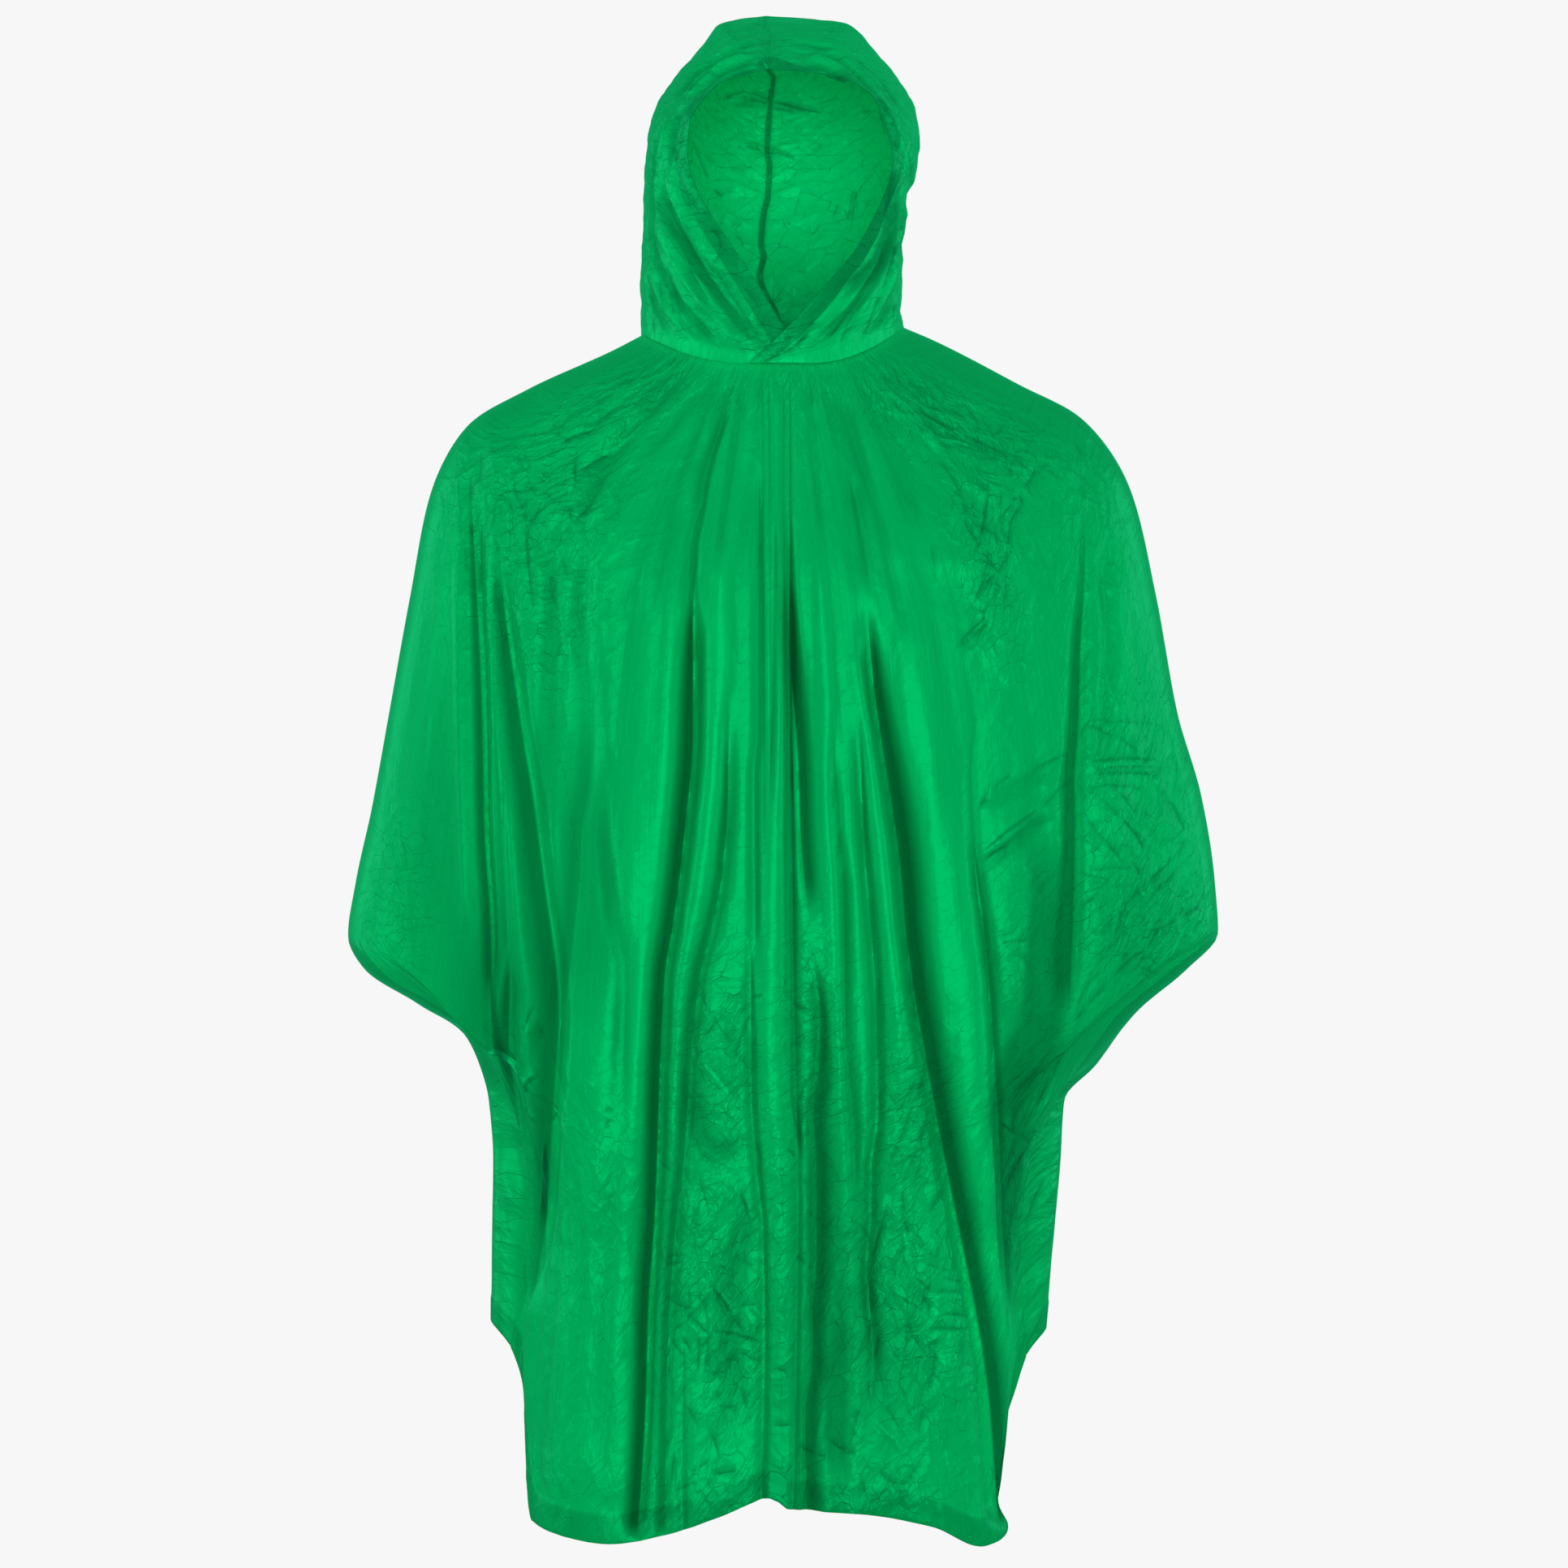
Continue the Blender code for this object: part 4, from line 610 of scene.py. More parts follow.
# Drag folds of the hood and creases down its back, in the same terms as the creases above
HOOD_LEFT_FOLDS = {
    "drag main": ((-91, 113, -57, 49, -2, -16), 5, -6, 0.8, 0.42),
    "drag main ridge": ((-94, 100, -66, 43, -16, -18), 3.5, 4, 0.8, -0.22),
    "drag second": ((-95, 84, -74, 31, -28, -21), 3.5, -4, 0.8, 0.28),
    "drag third ridge": ((-98, 73, -81, 24, -43, -23), 3.5, 4, 0.8, -0.18),
    "drag fourth": ((-97, 49, -83, 10, -54, -23), 3.5, -3, 0.8, 0.24),
    "drag fifth ridge": ((-99, 31, -92, 1, -69, -24), 3.5, 3, 0.8, -0.14),
    "drag short": ((-69, 61, -57, 34, -37, 7), 3, -3, 0.8, 0.2),
    "cheek long": ((-84, 134, -64, 84, -37, 43), 4, 5, 0.8, -0.2),
    "cheek long under": ((-88, 124, -70, 79, -48, 43), 3.5, -4, 0.8, 0.24),
    "temple": ((-78, 146, -74, 116, -60, 92), 4, 4, 0.7, -0.16),
    "side long one": ((-87, 164, -94, 116, -94, 49), 4, -4, 0.7, 0.22),
    "side long two": ((-77, 175, -86, 134, -87, 92), 4, 4, 0.7, -0.16),
    "side long three": ((-69, 178, -76, 152, -77, 122), 3.5, -4, 0.7, 0.22),
    "crown one": ((-8, 222, -48, 212, -78, 179), 4, -4, 0.7, 0.2),
    "crown two": ((-7, 215, -41, 206, -70, 180), 4, 4, 0.7, -0.16),
    "crown three": ((-4, 208, -31, 202, -60, 179), 4, -4, 0.7, 0.26),
    "crown four": ((-4, 201, -28, 196, -52, 177), 3.5, 3, 0.7, -0.12),
    "crown pleat": ((-28, 224, -10, 225, 13, 225), 3, -3, 0.8, 0.18),
    "crown pleat low": ((-29, 217, -10, 216, 13, 217), 3, -3, 0.8, 0.2),
}
HOOD_RIGHT_FOLDS = {
    "drag main": ((98, 84, 71, 31, 21, -19), 5, -5, 0.8, 0.36),
    "drag main ridge": ((99, 67, 78, 22, 33, -23), 3.5, 4, 0.8, -0.22),
    "drag second": ((98, 49, 79, 9, 42, -24), 3.5, -4, 0.8, 0.3),
    "drag third ridge": ((98, 31, 84, 1, 54, -24), 3.5, 4, 0.8, -0.2),
    "drag fourth": ((98, 16, 85, -9, 64, -24), 3.5, -3, 0.8, 0.24),
    "drag lip ridge": ((89, 70, 58, 25, 14, -15), 3.5, 4, 0.8, -0.18),
    "inner dark": ((92, 127, 85, 61, 45, 27), 8, -3, 0.2, 0.5),
    "side long one": ((64, 203, 85, 171, 98, 122), 4, -4, 0.7, 0.22),
    "side long two": ((71, 192, 94, 158, 104, 116), 4, 4, 0.7, -0.22),
    "side long three": ((110, 134, 106, 98, 98, 61), 3.5, -4, 0.7, 0.24),
    "side long four": ((81, 185, 101, 146, 109, 122), 3.5, -3, 0.7, 0.2),
    "side lower ridge": ((104, 110, 101, 86, 93, 61), 3.5, 4, 0.8, -0.18),
    "crown one": ((21, 222, 53, 213, 78, 180), 4, -4, 0.7, 0.2),
    "crown two": ((21, 215, 47, 206, 68, 183), 4, 4, 0.7, -0.16),
    "crown three": ((21, 208, 41, 202, 60, 185), 4, -4, 0.7, 0.26),
    "crown pleat": ((7, 225, 30, 225, 51, 224), 3, -3, 0.8, 0.18),
    "crown pleat low": ((7, 217, 30, 216, 50, 217), 3, -3, 0.8, 0.2),
}
HOOD_BACK_CREASES = {
    "top line": ((-43, 214, -2, 213, 40, 204), 5, -4, 0.8, 0.22),
    "middle line": ((-25, 181, -2, 176, 22, 166), 4, -3, 0.8, 0.14),
}
# Painted shade on the strip round the face by height in millimetres, for each half by its hand
HOOD_EDGE_PAINTED_SHADE = {
    -1.0: ((-30, 0.8), (55, 0.85), (80, 0.95), (110, 1.0), (200, 1.0)),
    1.0: (
        (-30, 0.9), (15, 0.75), (50, 0.6), (118, 0.6), (132, 0.95), (172, 0.95), (185, 0.82),
        (200, 0.82)),
}
HOOD_PAINTED_LIGHT = {-1: 0.97, 1: 1.15}  # painted light on the outside of the left and the right half
HOOD_CRUMPLES = {
    "all over": (0.005, 0.13, 0.16, 0.16, 0, 0.6),
    "stub": (0.0, 0.0, 0.04, 0.02, 0, 0.8),
}

# Grid of each piece
FRONT_ROWS, FRONT_HALF_COLUMNS = 166, 140
BACK_ROWS, BACK_HALF_COLUMNS = 150, 104
HOOD_ROWS, HOOD_COLUMNS = 170, 146
BAND_COLUMNS = 8
BAND_ROWS = 7


# ---------------- curves and noise


def smooth(t):
    """0 to 1 with level ends: three t squared less two t cubed."""
    t = np.clip(t, 0.0, 1.0)
    return t * t * (3 - 2 * t)


def blended(knots, values, at):
    """The cubic curve through (knots, values) that never overshoots them, read at the places at."""
    knots, values = np.asarray(knots, float), np.asarray(values, float)
    step = np.diff(knots)
    slope = np.diff(values) / step
    tangent = np.zeros_like(values)
    rising = slope[:-1] * slope[1:] > 0
    weight_a = 2 * step[1:] + step[:-1]
    weight_b = step[1:] + 2 * step[:-1]
    with np.errstate(divide="ignore", invalid="ignore"):
        mean = (weight_a + weight_b) / (weight_a / slope[:-1] + weight_b / slope[1:])
    tangent[1:-1] = np.where(rising, mean, 0.0)
    tangent[0], tangent[-1] = slope[0], slope[-1]
    place = np.clip(np.searchsorted(knots, at, side="right") - 1, 0, len(step) - 1)
    t = (at - knots[place]) / step[place]
    run = step[place]
    return (
        (1 + 2 * t) * (1 - t) ** 2 * values[place]
        + t * (1 - t) ** 2 * run * tangent[place]
        + t * t * (3 - 2 * t) * values[place + 1]
        + t * t * (t - 1) * run * tangent[place + 1]
    )


def slopes_at(u, v, seed):
    """A unit slope for each whole-number place: its turn is the fraction of a large sine."""
    turn = 2 * math.pi * np.modf(np.abs(np.sin(u * 127.1 + v * 311.7 + seed * 74.7) * 43758.5453))[0]
    return np.cos(turn), np.sin(turn)


def noise(u, v, seed):
    """Gradient noise from about -1 to 1.

    The slopes at the four whole-number places round (u, v), each times the way to it, are blended
    by six t^5 less fifteen t^4 plus ten t^3.
    """
    u0, v0 = np.floor(u), np.floor(v)
    du, dv = u - u0, v - v0
    at = 0.0
    for i in (0, 1):
        for j in (0, 1):
            gu, gv = slopes_at(u0 + i, v0 + j, seed)
            way = gu * (du - i) + gv * (dv - j)
            wu = du if i else 1 - du
            wv = dv if j else 1 - dv
            blend = wu**3 * (wu * (6 * wu - 15) + 10) * wv**3 * (wv * (6 * wv - 15) + 10)
            at = at + way * blend
    return 1.4 * at


def crumpled(u, v, octaves, seed):
    """Creased noise from 0 to about 1: one less the size of the noise, cubed, over some octaves.

    Each octave is half as wide and half as strong, and is moved by the one before.
    """
    total, strength, scale = 0.0, 1.0, 1.0
    shift = 0.0
    for octave in range(octaves):
        n = noise(u * scale + shift, v * scale - shift, seed + 7 * octave)
        total = total + strength * (1 - np.abs(n)) ** 3
        shift = 0.6 * n
        strength, scale = strength / 2, scale * 2
    return total / 1.75


# ---------------- folds


def fold_shape(part, sharp):
    """How far a fold stands at a part of its width from its line: 1 on the line, 0 far from it.

    A round fold falls as exp(-part squared) and a sharp one as a straight ramp, one less part,
    with its foot rounded as log(1 + exp(9 (1 - part))) / 9. The share of the ramp is sharp.
    """
    ramp = np.logaddexp(0.0, 9 * (1 - part)) / 9
    return sharp * ramp + (1 - sharp) * np.exp(-part * part)


def fold_band(part):
    """The painted shade of a fold's dark band at a part of its width: 1 inside, 0 outside, with soft edges.
    """
    return smooth((BAND_EDGE - part) / 0.6)


def hanging_fold(x, z, fold):
    """How far a long fold lifts each point (x, z), and how that point lies to it.

    The fold runs down the curve x = f(z) through its points. The place across is given in
    millimetres, negative on the steeper, narrower side, and as a part of that side's width. The
    wide side opens from a third of its width to all of it over twice the length of its growth.
    """
    path, left, right, rise, sharp, shade, grows, dies = fold
    px, pz = MM * np.reshape(path, (-1, 2)).T
    down = np.clip(-z, -pz[0], -pz[-1])
    line = blended(-pz, px, down)
    step = 0.004
    ahead = blended(-pz, px, np.minimum(down + step, -pz[-1]))
    off = (x - line) / np.sqrt(1 + ((ahead - line) / step) ** 2) / MM
    off = off if left <= right else -off
    opened = 0.33 + 0.67 * smooth((pz[0] - z) / (2 * MM * grows))
    width = max(left, right) * opened
    steep = max(min(left, right), ROUNDEST, STEEPEST * abs(rise))
    part = np.abs(off) / np.where(off < 0, steep, np.maximum(width, ROUNDEST))
    fade = smooth((-z + pz[0]) / (MM * grows)) * smooth((z - pz[-1]) / (MM * dies))
    return MM * rise * fade * fold_shape(part, RAMP_SHARE * sharp), off, part, fade, width


def is_crisp(fold):
    """Whether a fold's painted shade has a crisp edge, which the film's material paints."""
    return fold[4] >= CRISP and fold[5] > 0


def hanging_folds(grid, folds):
    """The lift of every point by a table of long folds, and what share of its light is left."""
    lift, light = 0.0, 1.0
    for fold in folds.values():
        rise, _, part, fade, _ = hanging_fold(grid[..., 0], grid[..., 2], fold)
        lift = lift + rise
        if not is_crisp(fold):
            light = light * (1 - fold[5] * fade * fold_band(part))
    return lift, light


def set_with_room(room, needed):
    """The first of the sets that has the room needed, or else the one that has the most."""
    free = [index for index, value in enumerate(room) if value > needed]
    return free[0] if free else int(np.argmax(room))


def end_fade(along):
    """1 along a crease, and falling to 0 over a quarter of it at either end."""
    return smooth(along / 0.25) * smooth((1 - along) / 0.25)


def fold_bands(grid, folds):
    """Where every point lies across the crisp fold of each set, as a part of its width, and its shade.

    The shade fades from BAND_REACH past the fold's band on. Each fold joins the first set whose
    own folds all leave it room.
    """
    x, z = grid[..., 0], grid[..., 2]
    across = np.full((BAND_SETS, *x.shape), BEYOND)
    shade = np.zeros_like(across)
    members = [[] for _ in range(BAND_SETS)]
    levels = np.linspace(0.0, -1.0, 100)
    for fold in folds.values():
        if not is_crisp(fold):
            continue
        path, left, right = fold[:3]
        px, pz = MM * np.reshape(path, (-1, 2)).T
        line = blended(-pz, px, np.clip(-levels, -pz[0], -pz[-1])) / MM
        line = np.where((levels < pz[0] + 0.02) & (levels > pz[-1] - 0.02), line, np.nan)
        reach = BAND_EDGE * max(left, right) + 2 * BAND_REACH
        room = [
            min(
                (np.nanmin(np.abs(line - other), initial=FAR) - reach - far for other, far in chosen),
                default=FAR)
            for chosen in members
        ]
        chosen = set_with_room(room, 0)
        members[chosen].append((line, reach))
        _, off, _, fade, width = hanging_fold(x, z, fold)
        past = np.abs(off) - BAND_EDGE * width - BAND_REACH
        dark = fold[5] * np.minimum(fade * 1.6, 1.0) * smooth(1 - past / BAND_REACH)
        stronger = dark > shade[chosen]
        across[chosen] = np.where(stronger, off / width, across[chosen])
        shade[chosen] = np.where(stronger, dark, shade[chosen])
    return np.moveaxis(across, 0, -1), np.moveaxis(shade, 0, -1)


def creased(grid, creases):
    """The lift of every point by a table of creases, and what share of its light is left.

    Each crease runs along a parabola through its three points, and dies towards its ends.
    """
    t = np.linspace(0.0, 1.0, 40)
    weights = np.stack([(1 - t) * (1 - 2 * t), 4 * t * (1 - t), t * (2 * t - 1)])
    x, z = grid[..., 0], grid[..., 2]
    lift, light = np.zeros(x.shape), np.ones(x.shape)
    for points, half_width, rise, sharp, shade in creases.values():
        line = MM * np.reshape(points, (-1, 2)).T @ weights
        reach = 2.5 * MM * half_width
        low, high = line.min(axis=1) - reach, line.max(axis=1) + reach
        near = (x > low[0]) & (x < high[0]) & (z > low[1]) & (z < high[1])
        gap = np.hypot(x[near][:, None] - line[0], z[near][:, None] - line[1])
        along = t[gap.argmin(axis=1)]
        part = gap.min(axis=1) / (MM * half_width)
        fade = end_fade(along)
        lift[near] += MM * rise * fade * fold_shape(part, sharp)
        light[near] *= 1 - shade * fade * fold_band(part)
    return lift, light


def pressed_lines(grid, lines):
    """The signed gap of every point from the nearest fine crease of each set, and that one's depth.

    The gap is in millimetres, positive on the left of the crease as it runs, and the depth fades
    towards both ends of a crease and out to LINE_REACH from it. Each crease joins the first set
    whose own creases are all further off than twice that.
    """
    x, z = grid[..., 0] / MM, grid[..., 2] / MM
    gap = np.full((LINE_SETS, *x.shape), LINE_REACH)
    depth = np.zeros_like(gap)
    nearest = np.full_like(gap, 2 * LINE_REACH)
    members = [[] for _ in range(LINE_SETS)]
    along = np.linspace(0.0, 1.0, 40)
    for row in lines:
        points = np.reshape(row[:-1], (-1, 2))
        knots = np.linspace(0.0, 1.0, len(points))
        line = np.stack([np.interp(along, knots, part) for part in points.T])
        room = [
            min(
                (np.hypot(*(line[:, :, None] - other[:, None, ::4])).min() for other in chosen),
                default=FAR)
            for chosen in members
        ]
        chosen = set_with_room(room, 2 * LINE_REACH)
        members[chosen].append(line)
        low, high = line.min(axis=1) - 2 * LINE_REACH, line.max(axis=1) + 2 * LINE_REACH
        near = (x > low[0]) & (x < high[0]) & (z > low[1]) & (z < high[1])
        way = np.stack([x[near], z[near]])[:, :, None] - line[:, None, :]
        closest = np.hypot(*way).argmin(axis=1)
        run = np.gradient(line, axis=1)
        run = (run / np.hypot(*run))[:, closest]
        way = way[:, np.arange(len(closest)), closest]
        off = run[0] * way[1] - run[1] * way[0]
        distance = np.hypot(*way)
        fade = end_fade(along[closest]) * smooth((LINE_REACH - distance) / (0.6 * LINE_REACH))
        closer = distance < nearest[chosen][near]
        gap[chosen][near] = np.where(closer, off, gap[chosen][near])
        depth[chosen][near] = np.where(closer, row[-1] * fade, depth[chosen][near])
        nearest[chosen][near] = np.where(closer, distance, nearest[chosen][near])
    return np.moveaxis(gap, 0, -1), np.moveaxis(depth, 0, -1)


def back_lines():
    """The fine creases of the back: some groups of the front's, turned left for right."""
    rows = []
    for name in BACK_GROUPS:
        for row in FRONT_LINES[name]:
            points = np.reshape(row[:-1], (-1, 2)) * (-1, 1) + (2 * CENTRE_X / MM, 0)
            rows.append((*points.ravel().tolist(), row[-1]))
    return rows


def set_fields(name, sets):
    """Sets of values as attributes, three sets to each vector."""
    return {name + str(index // 3): sets[..., index:index + 3] for index in range(0, sets.shape[-1], 3)}


def bells(grid, zones):
    """A soft bell over each ellipse of a table: its amount times exp(-(distance squared) to the 1.2)."""
    x, z = grid[..., 0], grid[..., 2]
    for middle_x, middle_z, half_width, half_height, turn, amount in zones.values():
        c, s = math.cos(math.radians(turn)), math.sin(math.radians(turn))
        u = ((x - middle_x) * c + (z - middle_z) * s) / half_width
        v = ((z - middle_z) * c - (x - middle_x) * s) / half_height
        yield amount * np.exp(-((u * u + v * v) ** 1.2))


def crumple_share(grid, zones):
    """How crumpled each point is, 0 to 1: the most of its bells."""
    return np.max(list(bells(grid, zones)), axis=0)


def zone_light(grid, zones):
    """What share of its light each point keeps: the product of one less each bell."""
    return np.prod([1 - bell for bell in bells(grid, zones)], axis=0)


# ---------------- the body


def column(sections, fields, name):
    """One named column of a table of sections."""
    return np.array([row[fields.index(name)] for row in sections.values()])


def body_knots():
    """How far down the cloth each section lies, the mean along the left, right and front lines."""
    lines = (("left_x", "left_z"), ("right_x", "right_z"), ("front_y", "front_z"))
    total = 0.0
    for pair in lines:
        points = np.stack([column(BODY_SECTIONS, BODY_FIELDS, name) for name in pair], axis=1)
        total = total + np.linalg.norm(np.diff(points, axis=0), axis=1)
    return np.concatenate([[0.0], np.cumsum(total / len(lines))])


def with_band(total, count, band, band_count):
    """Places from 0 to total: count even ones, a tight pair where the band begins, and the band's."""
    start = total - band
    plain = np.linspace(0.0, start - TIGHT, count - band_count)
    return np.concatenate([plain, np.linspace(start, total, band_count)])


def lengths_along(points):
    """How far along its row each point of a grid lies."""
    steps = np.linalg.norm(np.diff(points, axis=1), axis=-1)
    return np.concatenate([np.zeros((len(steps), 1)), np.cumsum(steps, axis=1)], axis=1)


def read_rows(wanted, parts, values):
    """The values of each row, read at the wanted parts of it."""
    row = 2.0 * np.arange(len(parts))[:, None]
    at = np.interp((wanted + row).ravel(), (parts + row).ravel(), values.ravel())
    return at.reshape(wanted.shape)


def half_body(which, side, stations, columns, band):
    """Half of a panel: rows down the cloth by columns from the centre out to the side line.

    A superellipse in plan: x runs from the centre out to the side as a power of the sine of the
    turn, y from the panel's depth to the side line as a power of its cosine, and a fin carries
    the last of it straight out. The height turns from that of the centre to that of the side.
    The columns are even along the cloth, with a tight pair where the side's band begins.
    """
    knots = body_knots()
    ends = [side + "_x", side + "_z", which + "_y", which + "_z"]
    names = ends + ["mouth", "fin", "level", "full", "square"]
    side_x, side_z, centre_y, centre_z, mouth, fin, level, full, square = (
        blended(knots, column(BODY_SECTIONS, BODY_FIELDS, name), stations)[:, None] for name in names
    )
    hand = math.copysign(1.0, side_x[0, 0])
    away = math.copysign(1.0, centre_y[0, 0])
    edge_y = away * (mouth + SEAM_GAP / 2 + SEAM_LIP)
    reach = np.abs(side_x - CENTRE_X) - fin

    def ring(turn):
        along = np.sin(turn * QUARTER) ** (2 / square)
        across = np.cos(turn * QUARTER).clip(0.0) ** (2 / square)
        out = reach * along + fin * smooth((turn - FIN_FROM) / (1 - FIN_FROM))
        x = CENTRE_X + hand * out
        y = edge_y + (centre_y - edge_y) * across
        z = centre_z + (side_z - centre_z) * smooth((turn - level) / (full - level))
        return np.stack([x, y, z], axis=-1)

    turn = np.broadcast_to(np.linspace(0.0, 1.0, DENSE), (len(stations), DENSE))
    length = lengths_along(ring(turn))
    whole = length[:, -1:]
    even = np.linspace(0.0, 1.0, columns - BAND_COLUMNS)[None, :]
    edge = np.linspace(0.0, 1.0, BAND_COLUMNS)[None, :]
    wanted = np.concatenate([even * (whole - band - TIGHT), whole - band + edge * band], axis=1) / whole
    grid = ring(read_rows(wanted, length / whole, turn))
    strip = grid[:, -1:].copy()
    strip[..., 1] -= away * SEAM_LIP
    return np.concatenate([grid, strip], axis=1)


def normals_of(grid):
    """Unit normals of a grid, from the slopes along its rows and columns."""
    down = np.gradient(grid, axis=0)
    across = np.gradient(grid, axis=1)
    normal = np.cross(across, down)
    return normal / np.maximum(np.linalg.norm(normal, axis=-1, keepdims=True), 1e-12)


def evened(rows, times):
    """Rows of values, each moved towards the mean of its neighbours a few times, with the ends kept."""
    for _ in range(times):
        rows = np.concatenate([rows[:1], (rows[:-2] + 2 * rows[1:-1] + rows[2:]) / 4, rows[-1:]])
    return rows


def evened_grid(grid, times=12):
    """A grid of values, evened down its rows and along them."""
    return evened(evened(grid, times).swapaxes(0, 1), times).swapaxes(0, 1)


def with_hem_dip(grid, dips, place):
    """The hem's own line: each column is let down by its dip, growing from nothing to the hem."""
    x, dip = np.array(dips).T
    drop = blended(x, dip, np.clip(grid[..., 0], x[0], x[-1]))
    centre = grid[:, grid.shape[1] // 2, 2]
    share = smooth((HEM_DIP_FROM - centre) / (HEM_DIP_FROM - centre[-1]))
    moved = grid.copy()
    moved[..., 2] -= drop * share[:, None] * side_fade(place)
    return moved


def side_fade(place):
    """1 over a panel and 0 on its two side lines, so what is pressed into it leaves its seams alone."""
    return 1 - smooth((np.abs(place) - 0.86) / 0.12)


def panel(which, rows, half_columns, folds, pleats, creases, lines, crumples, painted_shades, dips, sizes):
    """One panel with all that is pressed into it, and what its film needs to know at each point.

    The lift along the normal is that of the long folds, the pleats, streaks that follow the
    columns down from the neck, and crumples where their table puts them.
    """
    band = sizes.hem_width
    knots = body_knots()
    stations = with_band(knots[-1], rows, band, BAND_ROWS)
    left, right = (
        half_body(which, side, stations, half_columns, sizes.cuff_width) for side in ("left", "right")
    )
    grid = np.concatenate([left[:, ::-1], right[:, 1:]], axis=1)
    columns = grid.shape[1]
    place = np.broadcast_to(np.linspace(-1.0, 1.0, columns), grid.shape[:2])
    if which == "back":
        grid = grid[:, ::-1]
    grid = with_hem_dip(grid, dips, place)
    outward = -evened_grid(normals_of(grid))
    down = stations[:, None] / knots[-1]
    keep = smooth(down / 0.06) * side_fade(place)
    near = smooth(down / 0.012) * side_fade(place * 0.93)
    share = crumple_share(grid, crumples)
    metres = place * PANEL_REACH
    wide, fine = noise(metres * 60, down * 2.5, 3), noise(metres * 150, down * 5.0, 5)
    calm = 1 - 0.6 * smooth((np.abs(place) - 0.5) / 0.2)
    wide, fine = wide * calm, fine * calm
    streaks = wide * WIDE_STREAKS + fine * FINE_STREAKS
    x, z = grid[..., 0], grid[..., 2]
    rumple = (crumpled(x * 26, z * 20, 2, 11) - 0.45) * RUMPLE * sizes.crumple
    long_lift, light = hanging_folds(grid, folds)
    fine_lift, fine_light = hanging_folds(grid, pleats)
    crease_lift, crease_light = creased(grid, creases)
    lift = long_lift * keep + (fine_lift + crease_lift + streaks + rumple * share) * near
    # Painted shade in the folds, pleats, creases and listed places (painted light where their shade is
    # negative), and painted light and shade along the streaks
    light = light * fine_light * crease_light * zone_light(grid, painted_shades) * (1 + 0.08 * wide + 0.04 * fine)
    hem = smooth((stations - (knots[-1] - band)) / TIGHT)[:, None]
    mouth_from, mouth_to = (knots[list(BODY_SECTIONS).index(n)] for n in ("sleeve corner", "underarm"))
    at_mouth = smooth((stations - mouth_from) / 0.01) * smooth((mouth_to - stations) / 0.02)
    from_edge = np.minimum(np.arange(columns), np.arange(columns)[::-1])
    sleeve = at_mouth[:, None] * (from_edge <= BAND_COLUMNS)[None, :]
    doubled = np.maximum(hem, sleeve)
    grid = grid + outward * (lift * sizes.fold_depth + LAYER * doubled)[..., None]
    gap, depth = pressed_lines(grid, lines)
    across, shade = fold_bands(grid, {**folds, **pleats})
    # Painted light along the neck seam, against the shade of its groove
    neck_painted_light = np.exp(-((stations[:, None] / 0.004) ** 2))
    film = {
        "crumple": np.clip(share, 0, 1),
        "doubled": doubled,
        # painted shading: the painted shade and light of the folds, creases and places, faded at the side
        # seams
        "painted_shading": FULL_LIGHT * (1 - (1 - light) * side_fade(place)) * (1 + 0.5 * neck_painted_light),
        **set_fields("gap", gap),
        **set_fields("press", depth),
        **set_fields("across", across),
        **set_fields("shade", shade * side_fade(place)[..., None]),
    }
    flow = np.stack([metres, np.broadcast_to(stations[:, None], metres.shape)], axis=-1)
    return grid, film, flow


# ---------------- the hood


def neck_height(turn, side_z):
    """Height of the neck seam at a turn from the front, the same as that of the body's first ring."""
    row = dict(zip(BODY_FIELDS, BODY_SECTIONS["neck seam"]))
    part = np.where(turn < QUARTER, np.abs(turn), math.pi - turn) / QUARTER
    rise = smooth((part - row["level"]) / (1 - row["level"]))
    middle = np.where(turn < QUARTER, row["front_z"], row["back_z"])
    return middle + (side_z - middle) * rise


